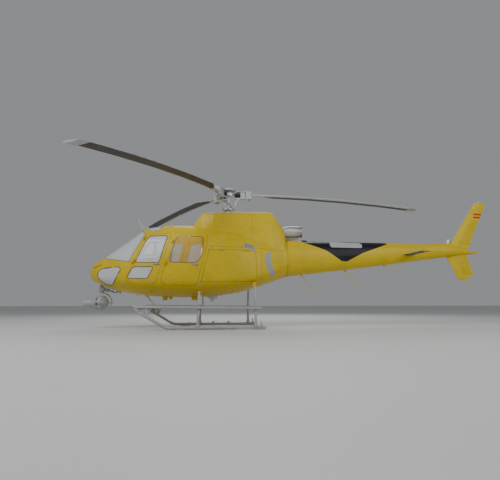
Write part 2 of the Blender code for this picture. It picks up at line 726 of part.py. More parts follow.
boolean(gearbox, "UNION", add_cutter("mast_boot", mast_boot))
boolean(gearbox, "DIFFERENCE", skin_clear)

# Wire cutter, lamp and fittings under the belly
CUTTER_SIDE = (
    (-2.277, 2.788), (-2.245, 2.785), (-2.14, 2.535), (-1.964, 2.53), (-1.95, 2.40), (-2.17, 2.38),
)
wire_cutter = add_part("wire_cutter", prism("wire_cutter", CUTTER_SIDE, -0.012, 0.012), GREY)
boolean(wire_cutter, "DIFFERENCE", skin_clear)
lamp_body = rod("landing_lamp", (-1.50, -0.20, 0.69), (-1.53, -0.20, 0.90), 0.055, 0.085, 16)
lamp = add_part("landing_lamp", lamp_body, YELLOW, smooth=35)
boolean(lamp, "DIFFERENCE", skin_clear)
hook_body = rod("cargo_hook", (-0.35, 0.0, 0.665), (-0.35, 0.0, 0.90), 0.05, 0.05, 16)
hook = add_part("cargo_hook", hook_body, STEEL, smooth=35)
hook_frame = box("hook_frame", (-0.47, -0.09, 0.73), (-0.23, 0.09, 0.90))
boolean(hook, "UNION", add_cutter("hook_frame", hook_frame))
boolean(hook, "DIFFERENCE", skin_clear)

# Camera mount, yoke and ball
bx, by, bz = BALL
MOUNT_SIDE = (
    (-3.12, 1.16), (-3.12, 0.95), (-3.09, 0.905), (-2.99, 0.905), (-2.74, 0.865), (-2.69, 0.84),
    (-2.63, 0.93), (-2.60, 1.0), (-2.75, 1.16),
)
mount = add_part("camera_mount", prism("camera_mount", MOUNT_SIDE, -0.085, 0.085), GREY)
boolean(mount, "DIFFERENCE", skin_clear)
pan = empty("camera_pan_axis", (bx, by, bz), airframe)
YOKE_R = 0.25
RING_R = 0.214
PIN_Y = 0.1975
arm = [
    (bx + YOKE_R * math.cos(math.radians(a)), 0.0, bz + YOKE_R * math.sin(math.radians(a)))
    for a in range(90, -26, -12)
]
yoke = add_part("camera_yoke", tube("camera_yoke", arm, 0.016), GREY, pan, smooth=35)
half_ring = [
    (bx + RING_R * math.cos(math.radians(a)), RING_R * math.sin(math.radians(a)), bz)
    for a in range(-90, 91, 15)
]
boolean(yoke, "UNION", add_cutter("yoke_ring", tube("yoke_ring", half_ring, 0.011)))
yoke_hub = rod("yoke_hub", (bx, 0, 0.905 - FIT), (bx, 0, bz + YOKE_R - 0.01), 0.05, 0.045, 16)
boolean(yoke, "UNION", add_cutter("yoke_hub", yoke_hub))
yoke_knob = rod("yoke_knob", (bx + RING_R, 0, bz), (bx + YOKE_R + 0.045, 0, bz), 0.016, 0.010)
boolean(yoke, "UNION", add_cutter("yoke_knob", yoke_knob))
for side, word in SIDES:
    end = rod("yoke_pin_" + word, (bx, side * PIN_Y, bz), (bx, side * (RING_R + 0.014), bz), 0.022)
    boolean(yoke, "UNION", add_cutter("yoke_pin_" + word, end))
bm = bmesh.new()
bmesh.ops.create_uvsphere(bm, u_segments=20, v_segments=12, radius=BALL_R)
bmesh.ops.translate(bm, vec=BALL, verts=bm.verts)
tilt = empty("camera_tilt_axis", (bx, by, bz), airframe)
ball = add_part("camera_ball", mesh_of(bm, "camera_ball"), GREY, tilt, smooth=35)
lens = rod("camera_lens", (bx - 0.12, 0, bz - 0.006), (bx - 0.40, 0, bz - 0.012), 0.112, 0.104, 20)
boolean(ball, "UNION", add_cutter("camera_lens", lens))
ball_pads = rod("ball_pads", (bx, -PIN_Y + FIT, bz), (bx, PIN_Y - FIT, bz), 0.03)
boolean(ball, "UNION", add_cutter("ball_pads", ball_pads))

# Tail boom with its aerials, stabiliser and fins
# Aerials under the boom: root station and height, bend, tip.
AERIALS = (
    ((1.985, 1.43), (2.02, 1.33), (2.407, 0.881)),
    ((3.201, 1.58), (3.24, 1.475), (3.593, 1.057)),
    ((4.321, 1.72), (4.45, 1.56), (4.792, 1.488)),
)
boom = add_part("tail_boom", boom_loft("tail_boom"), YELLOW, smooth=35)
boom_space = add_cutter("boom_space", boom_loft("boom_space", BOOM_WALL, last=BOOM_HOLLOW_END, beyond=0.03))
boolean(boom, "DIFFERENCE", boom_space)
for n, (root, bend, tip) in enumerate(AERIALS):
    points = [(x, 0.0, z) for x, z in (root, bend, tip)]
    boolean(boom, "UNION", add_cutter("aerial_%d" % n, tube("aerial", points, 0.009, 1)))


def wing_ring(leading, trailing, thickness, place):
    """A wing section: chord from leading to trailing, place puts (along, across) in space."""
    chord = trailing - leading
    shape = ((0.0, 0.0), (0.08, 0.36), (0.30, 0.5), (0.65, 0.32), (1.0, 0.03))
    upper = [(leading + u * chord, v * thickness) for u, v in shape]
    lower = [(leading + u * chord, -v * thickness) for u, v in reversed(shape[1:])]
    return [place(along, across) for along, across in upper + lower]


def stabiliser_loft(name, grow):
    rings = []
    for out, leading, trailing in STABILISER:
        def place(along, across, out=out):
            return (along, out, STABILISER_Z + across)
        rings.append(wing_ring(leading - grow, trailing + grow, 0.036 + 2 * grow, place))
    return loft(name, rings)


def fin_loft(name, slices):
    rings = []
    for height, leading, trailing, thickness in slices:
        def place(along, across, height=height):
            return (along, across, height)
        rings.append(wing_ring(leading, trailing, thickness, place))
    return loft(name, rings)


add_part("stabiliser", stabiliser_loft("stabiliser", 0.0), YELLOW, smooth=35)
boolean(boom, "DIFFERENCE", add_cutter("stabiliser_slot", stabiliser_loft("stabiliser_slot", 0.001)))
upper_fin = add_part("upper_fin", fin_loft("upper_fin", UPPER_FIN), YELLOW, smooth=35)
boolean(upper_fin, "DIFFERENCE", boom_clear)
lower_fin = add_part("lower_fin", fin_loft("lower_fin", LOWER_FIN), YELLOW, smooth=35)
boolean(lower_fin, "DIFFERENCE", boom_clear)
skid_rod = tube("tail_skid", ((6.70, 0, 1.30), (6.76, 0, 1.245), (7.10, 0, 1.10)), 0.009, 1)
boolean(lower_fin, "UNION", add_cutter("tail_skid", skid_rod))

# Tail gearbox and tail rotor
tx, ty, tz = TAIL_HUB
tail_case = rod("tail_gearbox", (tx, 0.05, tz), (tx, ty - 0.05, tz), 0.085, 0.07, 16)
tail_box = add_part("tail_gearbox", tail_case, STEEL, smooth=35)
gearbox_top = rod("gearbox_top", (6.39, 0.18, 2.12), (6.47, 0.20, 2.45), 0.085, 0.05, 16)
boolean(tail_box, "UNION", add_cutter("gearbox_top", gearbox_top))
tail_shaft = rod("tail_shaft", (tx, 0.2, tz), (tx, ty - 0.03 - FIT, tz), 0.03, sides=16)
boolean(tail_box, "UNION", add_cutter("tail_shaft", tail_shaft))
boolean(tail_box, "DIFFERENCE", boom_clear)
wider_fin = [(z, le - 0.01, te + 0.01, t + 0.006) for z, le, te, t in UPPER_FIN]
fin_clearance = fin_loft("fin_clearance", wider_fin)
boolean(tail_box, "DIFFERENCE", add_cutter("fin_clearance", fin_clearance))

tail_axis = empty("tail_rotor_axis", TAIL_HUB, airframe)
tail_hub = rod("tail_rotor", (tx, ty - 0.03, tz), (tx, ty + 0.05, tz), 0.055, 0.045, 16)
tail_rotor = add_part("tail_rotor", tail_hub, GREY, tail_axis, smooth=35)
# Blade slices: distance from the axis, half chord, half thickness.
TAIL_BLADE = (
    (0.02, 0.035, 0.012), (0.16, 0.035, 0.012), (0.26, TAIL_CHORD / 2, 0.012),
    (TAIL_ROTOR_R, TAIL_CHORD / 2, 0.008),
)
for turn, word in ((1, "aft"), (-1, "forward")):
    rings = []
    for reach, half, thick in TAIL_BLADE:
        rings.append([
            (tx + turn * reach, ty + t * thick, tz + turn * c * half)
            for c, t in ((-1, 0), (-0.5, 0.9), (0.3, 0.9), (1, 0), (0.3, -0.9), (-0.5, -0.9))
        ])
    boolean(tail_rotor, "UNION", add_cutter("tail_blade_" + word, loft("tail_blade", rings)))

# Landing gear
STEP_Z = (0.532, 0.505)


def step_box(name, side, grow):
    inner, outer = STEP_INNER_Y - grow, STEP_INNER_Y + STEP_WIDTH + grow
    low_y, high_y = sorted((side * inner, side * outer))
    half = STEP_HEIGHT / 2 + grow
    front, rear = STEP_Z
    outline = (
        (-2.135 - grow, front + half), (0.816 + grow, rear + half), (0.816 + grow, rear - half),
        (-2.075 - grow, front - half),
    )
    return prism(name, outline, low_y, high_y)


def skid_points(side):
    """The skid's line; its nose leans out under the step."""
    points = []
    for x, z in SKID_LINE:
        lean = max(0.0, (z - 0.34) / 0.16) * 0.05
        points.append((x, side * (SKID_Y + lean), z))
    return points


skid_clear = []
for side, word in SIDES:
    clear = add_cutter("skid_clearance_" + word, tube("skid_clearance", skid_points(side), SKID_R + FIT))
    skid_clear.append(clear)
    step = add_part("step_" + word, step_box("step_" + word, side, 0.0), GREY)
    bevel = step.modifiers.new("edges", "BEVEL")
    bevel.width = 0.012
    bevel.segments = 1
    step_clear = add_cutter("step_clearance_" + word, step_box("step_clearance", side, FIT))
    skid = add_part("skid_" + word, tube("skid_" + word, skid_points(side), SKID_R), GREY, smooth=35)
    low_y, high_y = sorted((side * (SKID_Y - 0.03), side * (SKID_Y + 0.03)))
    for n, (first, last) in enumerate(((-1.20, -0.95), (0.20, 0.90))):
        shoe = box("shoe", (first, low_y, 0.0), (last, high_y, 0.046))
        boolean(skid, "UNION", add_cutter("shoe_%s_%d" % (word, n), shoe))
    spike = bar("spike", (0.80, side * SKID_Y, 0.04), (0.80, side * SKID_Y, 0.195), 0.05, 0.03)
    boolean(skid, "UNION", add_cutter("spike_" + word, spike))
    brace_top = (-1.815, side * (STEP_INNER_Y + 0.01), 0.52)
    brace = bar("brace", (-1.80, side * SKID_Y, 0.29), brace_top, 0.035, 0.045)
    boolean(skid, "UNION", add_cutter("brace_" + word, brace))
    boolean(skid, "DIFFERENCE", step_clear)


def cross_points(skid_x, belly_x, half):
    height = half[-1][1]
    starboard = [(skid_x + (belly_x - skid_x) * z / height, y, z) for y, z in half]
    port = [(x, -y, z) for x, y, z in reversed(starboard[:-1])]
    return starboard + port


for name, skid_x, belly_x, half in CROSS_TUBES:
    points = cross_points(skid_x, belly_x, half)
    cross = add_part(name, tube(name, points, LEG_R), GREY, smooth=35)
    tunnel = tube(name + "_tunnel", points, LEG_R + FIT)
    tunnel = add_cutter(name + "_tunnel", tunnel)
    boolean(body, "DIFFERENCE", tunnel)
    if belly_x - LEG_R < BULKHEAD_X:
        boolean(belly, "DIFFERENCE", tunnel)
    for clear in skid_clear:
        boolean(cross, "DIFFERENCE", clear)

# Main rotor: everything here stands in the rotor's own tilted frame
rotor = empty("main_rotor_axis", (0.0, 0.0, HUB_Z), airframe, (0.0, -MAST_TILT, 0.0))
rotor["own_frame"] = True
MAST_R = 0.045
STAR_R = 0.17
SWASH_Z = -0.405
SWASH_HALF = 0.012
SWASH_R = 0.165
MAST_FOOT = -0.4285


def droop(reach):
    """How far the standing blade hangs below the hub at a distance from the axis."""
    return -BLADE_DROOP * max(0.0, (reach - 0.62) / (ROTOR_R - 0.62)) ** 1.9


def in_azimuth(mesh, azimuth):
    mesh.transform(Matrix.Rotation(azimuth, 4, "Z"))
    return mesh


mast = rod("rotor_head", (0, 0, MAST_FOOT), (0, 0, 0.115), MAST_R, sides=16)
head = add_part("rotor_head", mast, STEEL, rotor, smooth=35)
star = rod("star_centre", (0, 0, -0.035), (0, 0, 0.035), STAR_R, sides=24)
boolean(head, "UNION", add_cutter("star_centre", star, rotor))
dome = rod("head_dome", (0, 0, 0.11), (0, 0, 0.165), 0.205, 0.09, sides=24)
boolean(head, "UNION", add_cutter("head_dome", dome, rotor))
plate_low, plate_high = (0, 0, SWASH_Z - SWASH_HALF), (0, 0, SWASH_Z + SWASH_HALF)
swash_plate = rod("swashplate", plate_low, plate_high, SWASH_R, sides=24)
swash = add_part("swashplate", swash_plate, STEEL, rotor, smooth=35)
mast_bore = rod("mast_bore", (0, 0, -0.5), (0, 0, -0.3), MAST_R + FIT, sides=16)
boolean(swash, "DIFFERENCE", add_cutter("mast_bore", mast_bore, rotor))

# Blade slices: distance from the axis, leading edge, trailing edge, thickness.
BLADE = (
    (0.57, -0.06, 0.06, 0.06), (0.85, -0.065, 0.075, 0.055), (1.25, -0.0875, 0.2625, 0.044),
    (2.2, -0.0875, 0.2625, 0.042), (3.2, -0.0875, 0.2625, 0.042), (4.2, -0.0875, 0.2625, 0.042),
    (4.8, -0.0875, 0.2625, 0.042), (ROTOR_R, -0.0875, 0.2625, 0.040),
)
for n in range(BLADES):
    azimuth = 2 * math.pi * n / BLADES
    arm = in_azimuth(box("star_arm", (0.0, -0.05, -0.025), (0.44, 0.05, 0.025)), azimuth)
    boolean(head, "UNION", add_cutter("star_arm_%d" % n, arm, rotor))
    inside = PLATE_Z - FIT
    damper = in_azimuth(box("damper", (0.33, -0.06, -inside), (0.44, 0.06, inside)), azimuth)
    boolean(head, "UNION", add_cutter("damper_%d" % n, damper, rotor))
    rings = []
    for reach, leading, trailing, thickness in BLADE:
        def place(along, across, reach=reach):
            return (reach, along, droop(reach) + across)
        rings.append(wing_ring(leading, trailing, thickness, place))
    name = "main_blade_%d" % (n + 1)
    blade = add_part(name, in_azimuth(loft(name, rings), azimuth), GREY, rotor, smooth=35)
    half = SLEEVE_WIDTH / 2
    block = box("sleeve_block", (0.47, -half, -PLATE_Z - PLATE), (0.62, half, PLATE_Z + PLATE))
    boolean(blade, "UNION", add_cutter("sleeve_block_%d" % n, in_azimuth(block, azimuth), rotor))
    for level, word in ((1, "top"), (-1, "bottom")):
        low, high = sorted((level * PLATE_Z, level * (PLATE_Z + PLATE)))
        plate = box("sleeve_plate", (0.215, -half, low), (0.60, half, high))
        boolean(blade, "UNION", add_cutter("sleeve_%s_%d" % (word, n), in_azimuth(plate, azimuth), rotor))
    under = -PLATE_Z - PLATE - FIT
    link = rod("pitch_link", (0.145, -0.045, SWASH_Z), (0.245, -0.045, under - 0.004), 0.011, sides=8)
    cap = rod("link_end", (0.245, -0.045, under - 0.03), (0.245, -0.045, under), 0.018, sides=10)
    boolean(swash, "UNION", add_cutter("pitch_link_%d" % n, in_azimuth(link, azimuth), rotor))
    boolean(swash, "UNION", add_cutter("link_end_%d" % n, in_azimuth(cap, azimuth), rotor))
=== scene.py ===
import json
import math

import bmesh
import bpy
import numpy as np
from mathutils import Matrix, Vector
from mathutils.bvhtree import BVHTree

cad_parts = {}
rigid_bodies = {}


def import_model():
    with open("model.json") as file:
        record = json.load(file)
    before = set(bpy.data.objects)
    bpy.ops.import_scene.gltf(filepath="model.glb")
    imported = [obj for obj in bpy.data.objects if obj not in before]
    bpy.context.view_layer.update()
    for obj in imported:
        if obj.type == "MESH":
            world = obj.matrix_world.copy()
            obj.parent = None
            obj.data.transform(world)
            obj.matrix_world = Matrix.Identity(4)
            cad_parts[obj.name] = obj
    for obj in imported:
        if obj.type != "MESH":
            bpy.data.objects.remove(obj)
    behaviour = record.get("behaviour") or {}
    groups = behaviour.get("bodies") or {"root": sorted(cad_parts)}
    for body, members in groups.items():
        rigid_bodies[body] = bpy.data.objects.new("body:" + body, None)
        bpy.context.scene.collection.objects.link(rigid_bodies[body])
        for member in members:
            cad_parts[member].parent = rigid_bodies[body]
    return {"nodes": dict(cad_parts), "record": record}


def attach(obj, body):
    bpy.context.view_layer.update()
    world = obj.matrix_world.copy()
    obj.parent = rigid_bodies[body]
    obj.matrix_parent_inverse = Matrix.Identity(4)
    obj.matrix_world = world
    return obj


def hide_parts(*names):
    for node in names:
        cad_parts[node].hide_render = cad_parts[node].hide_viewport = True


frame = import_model()
scene = bpy.context.scene
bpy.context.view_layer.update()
nodes = frame["nodes"]
for spare in [o for o in bpy.data.objects if o.type in {"CAMERA", "LIGHT"} or o.name == "Cube"]:
    bpy.data.objects.remove(spare, do_unlink=True)
print("frame loaded with", len(nodes), "nodes")

mastX = -2.066  # stations below run aft from the rotor mast
left, right = -1, 1
sides = ((left, "left"), (right, "right"))


def at(x, y, z):
    return Vector((x + mastX, y, z))


# camera
view = dict(place=(-0.414, -11.835, 0.614), pitch=7.96, yaw=-10.253, lens=32.306, shift=(-0.0832, 0.0008))

cameraData = bpy.data.cameras.new("viewCamera")
cameraData.lens = view["lens"]
cameraData.sensor_width = 36.0
cameraData.shift_x, cameraData.shift_y = view["shift"]
cameraData.clip_end = 400.0
viewCamera = bpy.data.objects.new("viewCamera", cameraData)
viewCamera.location = at(*view["place"])
viewCamera.rotation_euler = (math.radians(90 + view["pitch"]), 0.0, math.radians(view["yaw"]))
scene.collection.objects.link(viewCamera)
bpy.context.scene.camera = viewCamera


# section tables of the hull and boom, as the solids have them
# station, half width, top, bottom, height of the widest point, roundness above and below it
hullSections = np.array((
    (-3.325, 0.06, 1.42, 1.30, 1.36, 2.0, 2.0), (-3.28, 0.20, 1.52, 1.19, 1.34, 2.0, 2.0),
    (-3.17, 0.34, 1.637, 1.11, 1.31, 2.1, 2.0), (-3.02, 0.48, 1.727, 1.035, 1.27, 2.1, 2.1),
    (-2.75, 0.65, 1.93, 0.935, 1.25, 2.2, 2.2), (-2.45, 0.775, 2.16, 0.868, 1.25, 2.25, 2.3),
    (-2.12, 0.87, 2.414, 0.818, 1.25, 2.3, 2.4), (-1.95, 0.90, 2.505, 0.80, 1.25, 2.4, 2.5),
    (-1.65, 0.925, 2.563, 0.777, 1.25, 2.5, 2.6), (-1.27, 0.935, 2.584, 0.762, 1.25, 2.6, 2.6),
    (-0.89, 0.935, 2.586, 0.757, 1.25, 2.6, 2.6), (-0.45, 0.925, 2.57, 0.776, 1.25, 2.6, 2.6),
    (0.0, 0.90, 2.52, 0.83, 1.26, 2.6, 2.5), (0.35, 0.86, 2.45, 0.895, 1.28, 2.6, 2.5),
    (0.67, 0.79, 2.37, 0.985, 1.32, 2.5, 2.4), (1.1, 0.63, 2.29, 1.135, 1.42, 2.4, 2.3),
    (1.4, 0.47, 2.30, 1.245, 1.58, 2.3, 2.2), (1.56, 0.40, 2.295, 1.305, 1.70, 2.2, 2.2),
))
boomSections = np.array((
    (1.5603, 0.40, 2.295, 1.305, 1.79, 2.2, 2.2), (2.1, 0.345, 2.265, 1.375, 1.82, 2.1, 2.1),
    (3.77, 0.265, 2.273, 1.58, 1.925, 2.0, 2.0), (5.7, 0.175, 2.27, 1.85, 2.06, 2.0, 2.0),
    (5.9, 0.17, 2.315, 1.875, 2.08, 2.0, 2.0), (6.37, 0.15, 2.326, 1.94, 2.09, 2.0, 2.0),
    (6.65, 0.11, 2.21, 1.985, 2.09, 2.0, 2.0), (6.91, 0.065, 2.133, 2.01, 2.075, 2.0, 2.0),
    (7.25, 0.02, 2.10, 2.055, 2.078, 2.0, 2.0),
))


def sectionValues(table, x):
    x = np.clip(np.asarray(x, float), table[0, 0], table[-1, 0])
    last = len(table) - 1
    k = np.clip(np.searchsorted(table[:, 0], x, side="right") - 1, 0, last - 1)
    low, high = table[k], table[k + 1]
    before, after = table[np.maximum(k - 1, 0)], table[np.minimum(k + 2, last)]
    span = (high - low)[..., :1]
    t = (x[..., None] - low[..., :1]) / span
    slopeLow = (high - before) / (high - before)[..., :1] * span
    slopeHigh = (after - low) / (after - low)[..., :1] * span
    values = (2 * t ** 3 - 3 * t ** 2 + 1) * low + (t ** 3 - 2 * t ** 2 + t) * slopeLow
    values = values + (3 * t ** 2 - 2 * t ** 3) * high + (t ** 3 - t ** 2) * slopeHigh
    return [values[..., c] for c in range(1, 7)]


def skinLevel(points, table):
    half, top, bottom, middle, upper, lower = sectionValues(table, points[:, 0] - mastX)
    above = points[:, 2] >= middle
    power = np.where(above, upper, lower)
    height = np.where(above, top - middle, middle - bottom)
    across = np.abs(points[:, 1]) / half
    up = np.abs(points[:, 2] - middle) / height
    return (across ** power + up ** power) ** (1 / power)


def skinField(points, table):
    # how far each point stands off the skin, and the way out from it
    points = np.asarray(points, float).reshape(-1, 3)
    step = 2e-4
    slopes = []
    for axis in range(3):
        shift = np.zeros(3)
        shift[axis] = step
        slopes.append((skinLevel(points + shift, table) - skinLevel(points - shift, table)) / (2 * step))
    slopes = np.stack(slopes, 1)
    steep = np.linalg.norm(slopes, axis=1)
    steep[steep < 1e-9] = 1.0
    return (skinLevel(points, table) - 1) / steep, slopes / steep[:, None]


def curveAt(table, x, angle, lift=0.0):
    # a point on the skin at a station and an angle round the section
    half, top, bottom, middle, upper, lower = [float(v) for v in sectionValues(table, x)]
    c, s = math.cos(angle), math.sin(angle)
    power = upper if s >= 0 else lower
    height = (top + lift - middle) if s >= 0 else (middle - bottom + lift)
    y = (half + lift) * math.copysign(abs(c) ** (2 / power), c)
    return at(x, y, middle + height * math.copysign(abs(s) ** (2 / power), s))


# ray casts on the solids
def treeOf(*names):
    bm = bmesh.new()
    for name in names:
        bm.from_mesh(nodes[name].data)
    tree = BVHTree.FromBMesh(bm)
    bm.free()
    return tree


hullNames = [
    "cabin_shell", "belly_structure", "rear_body", "tail_boom", "rotor_cowling", "windshield_left",
    "windshield_right",
    "chin_window_left", "chin_window_right", "roof_window_left", "roof_window_right",
]
for word in ("left", "right"):
    hullNames += ["locker_door_" + word, "door_front_" + word, "door_front_%s_glass" % word]
    hullNames += ["door_front_%s_lower_glass" % word, "door_rear_" + word, "door_rear_%s_glass" % word]
hullTree = treeOf(*hullNames)
cowlTree = treeOf("rotor_cowling")
# where level lines start off the middle, and the station where the boom begins
hullReach, hullEnd = 2.0, 1.56
skinSlack = 0.02


def skinTable(x):
    return hullSections if x < hullEnd else boomSections


def wayOut(point, table=None):
    table = table if table is not None else skinTable(point.x - mastX)
    return Vector(skinField([point], table)[1][0])


def skinY(x, z):
    half, top, bottom, middle, upper, lower = [float(v) for v in sectionValues(hullSections, x)]
    height, power = (top - middle, upper) if z >= middle else (middle - bottom, lower)
    share = 1 - (abs(z - middle) / height) ** power
    return half * max(0.0, share) ** (1 / power)


def onSide(x, z, side, tree=None):
    # where a level line from far out meets the hull, and the way out there
    start = at(x, side * hullReach, z)
    place, normal, _, _ = (tree or hullTree).ray_cast(start, Vector((0, -side, 0)))
    if place is None:
        place = at(x, side * 0.3, z)
        normal = Vector((0, side, 0))
    if tree is None and x < hullEnd - 0.01 and side * place.y < skinY(x, z) - skinSlack:
        place = at(x, side * skinY(x, z), z)  # the line had slipped through a gap
    if tree is None and abs(skinField([place], skinTable(x))[0][0]) < 1.5 * skinSlack:
        return place, wayOut(place)
    return place, normal


def onTop(x, y, tree=None, up=1):
    start = at(x, y, 3.4 if up > 0 else 0.1)
    place, normal, _, _ = (tree or hullTree).ray_cast(start, Vector((0, 0, -up)))
    return (place, normal) if place is not None else (at(x, y, 1.0), Vector((0, 0, up)))


# small mesh helpers
bevelAngle = 50


def rounded(mesh, angle):
    if angle is not None:
        mesh.shade_smooth()
        mesh.set_sharp_from_angle(angle=math.radians(angle))
    return mesh


def meshFrom(name, vertices, faces, smooth=None):
    mesh = bpy.data.meshes.new(name)
    mesh.from_pydata([tuple(v) for v in vertices], [], faces)
    bm = bmesh.new()
    bm.from_mesh(mesh)
    bmesh.ops.remove_doubles(bm, verts=bm.verts, dist=1e-6)
    bmesh.ops.recalc_face_normals(bm, faces=bm.faces)
    bm.to_mesh(mesh)
    bm.free()
    return rounded(mesh, smooth)


def addPiece(name, mesh, finish, body, replaced=()):
    piece = bpy.data.objects.new(name, mesh)
    scene.collection.objects.link(piece)
    mesh.materials.clear()
    mesh.materials.append(finish)
    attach(piece, body)
    if replaced:
        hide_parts(*replaced)
    return piece


def joined(name, meshes, smooth=None):
    bm = bmesh.new()
    for mesh in meshes:
        bm.from_mesh(mesh)
    mesh = bpy.data.meshes.new(name)
    bm.to_mesh(mesh)
    bm.free()
    return rounded(mesh, smooth)


def addJoined(name, meshes, smooth, finish, body, replaced=()):
    return addPiece(name, joined(name, meshes, smooth), finish, body, replaced)


def turnedFrame(axis, along=(1.0, 0.0, 0.0)):
    axis = Vector(axis).normalized()
    along = Vector(along)
    if abs(axis.dot(along.normalized())) > 0.95:
        along = Vector((0, 1, 0))
    first = (along - axis * along.dot(axis)).normalized()
    return first, axis.cross(first), axis


def lathe(name, start, axis, profile, steps=32, smooth=40):
    # profile is (distance along the axis, radius); its ends are closed on the axis
    first, second, axis = turnedFrame(axis)
    start = Vector(start)
    rings = []
    for along, radius in profile:
        centre = start + axis * along
        ring = []
        for k in range(steps):
            angle = 2 * math.pi * k / steps
            ring.append(centre + (first * math.cos(angle) + second * math.sin(angle)) * radius)
        rings.append(ring)
    return lofted(name, rings, smooth)


def lofted(name, rings, smooth=40):
    # a closed form through rings of as many points each
    vertices = [p for ring in rings for p in ring]
    count = len(rings[0])
    faces = []
    for r in range(len(rings) - 1):
        for k in range(count):
            a, b = r * count + k, r * count + (k + 1) % count
            faces.append((a, b, b + count, a + count))
    faces.append(tuple(range(count)))
    faces.append(tuple(range((len(rings) - 1) * count, len(rings) * count)))
    return meshFrom(name, vertices, faces, smooth)


def blockMesh(name, centre, size, first=(1, 0, 0), axis=(0, 0, 1), bevel=0.0):
    first, second, axis = turnedFrame(axis, first)
    bm = bmesh.new()
    bmesh.ops.create_cube(bm, size=1.0)
    turn = Matrix((first, second, axis)).transposed().to_4x4()
    bmesh.ops.scale(bm, vec=size, verts=bm.verts)
    if bevel:
        bmesh.ops.bevel(bm, geom=bm.edges[:], offset=bevel, segments=2, affect="EDGES", profile=0.6)
    bmesh.ops.transform(bm, matrix=Matrix.Translation(Vector(centre)) @ turn, verts=bm.verts)
    mesh = bpy.data.meshes.new(name)
    bm.to_mesh(mesh)
    bm.free()
    return rounded(mesh, bevelAngle)


def plateFrom(name, outline, low, high, bevel=0.0):
    # a closed outline of (station, height) drawn out across the model from low to high
    bm = bmesh.new()
    ends = [[bm.verts.new(at(x, y, z)) for x, z in outline] for y in (low, high)]
    count = len(outline)
    for k in range(count):
        bm.faces.new((ends[0][k], ends[0][(k + 1) % count], ends[1][(k + 1) % count], ends[1][k]))
    bm.faces.new(ends[0])
    bm.faces.new(ends[1])
    bmesh.ops.recalc_face_normals(bm, faces=bm.faces)
    if bevel:
        bmesh.ops.bevel(bm, geom=bm.edges[:], offset=bevel, segments=2, affect="EDGES", profile=0.6)
    mesh = bpy.data.meshes.new(name)
    bm.to_mesh(mesh)
    bm.free()
    return rounded(mesh, bevelAngle)


def roundedOutline(outline, radius, steps=4):
    points = [Vector(p) for p in outline]
    result = []
    for k, corner in enumerate(points):
        before, after = points[k - 1] - corner, points[(k + 1) % len(points)] - corner
        reach = min(radius, before.length * 0.45, after.length * 0.45)
        first, last = corner + before.normalized() * reach, corner + after.normalized() * reach
        for step in range(steps + 1):
            t = step / steps
            result.append(first * (1 - t) ** 2 + corner * (2 * t * (1 - t)) + last * t ** 2)
    return result


def spreadAlong(points, gap, closed=False):
    # the line cut into even short lengths
    points = [Vector(p) for p in points] + ([Vector(points[0])] if closed else [])
    result = []
    for low, high in zip(points, points[1:]):
        pieces = max(1, math.ceil((high - low).length / gap))
        result += [low.lerp(high, n / pieces) for n in range(pieces)]
    return result if closed else result + [points[-1]]


# Geometry Nodes trees
def startTree(name, inputs):
    tree = bpy.data.node_groups.new(name, "GeometryNodeTree")
    tree.interface.new_socket("Geometry", in_out="INPUT", socket_type="NodeSocketGeometry")
    for label, kind, value in inputs:
        made = tree.interface.new_socket(label, in_out="INPUT", socket_type="NodeSocket" + kind)
        if value is not None:
            made.default_value = value
    tree.interface.new_socket("Geometry", in_out="OUTPUT", socket_type="NodeSocketGeometry")
    return tree, tree.nodes.new("NodeGroupInput"), tree.nodes.new("NodeGroupOutput")


def treeNode(tree, kind, **settings):
    made = tree.nodes.new(kind)
    for key, value in settings.items():
        setattr(made, key, value)
    return made


def namedField(tree, label, kind):
    made = treeNode(tree, "GeometryNodeInputNamedAttribute", data_type=kind)
    made.inputs["Name"].default_value = label
    return made.outputs["Attribute"]


def endTree(tree, last, start, end):
    link = tree.links.new
    realize = treeNode(tree, "GeometryNodeRealizeInstances")
    paint = treeNode(tree, "GeometryNodeSetMaterial")
    link(last, realize.inputs["Geometry"])
    link(realize.outputs["Geometry"], paint.inputs["Geometry"])
    link(start.outputs["Finish"], paint.inputs["Material"])
    link(paint.outputs["Geometry"], end.inputs["Geometry"])


def standing(tree, start, instance, scale):
    # one copy at each marked point, its Z along "facing" and its X along "along"
    link = tree.links.new
    turn = treeNode(tree, "FunctionNodeAxesToRotation", primary_axis="Z", secondary_axis="X")
    link(namedField(tree, "facing", "FLOAT_VECTOR"), turn.inputs["Primary Axis"])
    link(namedField(tree, "along", "FLOAT_VECTOR"), turn.inputs["Secondary Axis"])
    place = treeNode(tree, "GeometryNodeInstanceOnPoints")
    link(start.outputs["Geometry"], place.inputs["Points"])
    link(instance, place.inputs["Instance"])
    link(turn.outputs["Rotation"], place.inputs["Rotation"])
    link(scale, place.inputs["Scale"])
    return place.outputs["Instances"]


# a low domed head: two tapered discs, one on the other
studTree, treeStart, treeEnd = startTree("studsOnSkin", [
    ("Radius", "Float", 0.004), ("Height", "Float", 0.002), ("Sides", "Int", 10),
    ("Finish", "Material", None),
])
foot = treeNode(studTree, "GeometryNodeMeshCone")
crown = treeNode(studTree, "GeometryNodeMeshCone")
shareRadius = treeNode(studTree, "ShaderNodeMath", operation="MULTIPLY")
shareRadius.inputs[1].default_value = 0.86
shareTop = treeNode(studTree, "ShaderNodeMath", operation="MULTIPLY")
shareTop.inputs[1].default_value = 0.45
shareHeight = treeNode(studTree, "ShaderNodeMath", operation="MULTIPLY")
shareHeight.inputs[1].default_value = 0.5
crownRise = treeNode(studTree, "ShaderNodeCombineXYZ")
lift = treeNode(studTree, "GeometryNodeTransform")
both = treeNode(studTree, "GeometryNodeJoinGeometry")
studLink = studTree.links.new
for share in (shareRadius, shareTop):
    studLink(treeStart.outputs["Radius"], share.inputs[0])
studLink(treeStart.outputs["Height"], shareHeight.inputs[0])
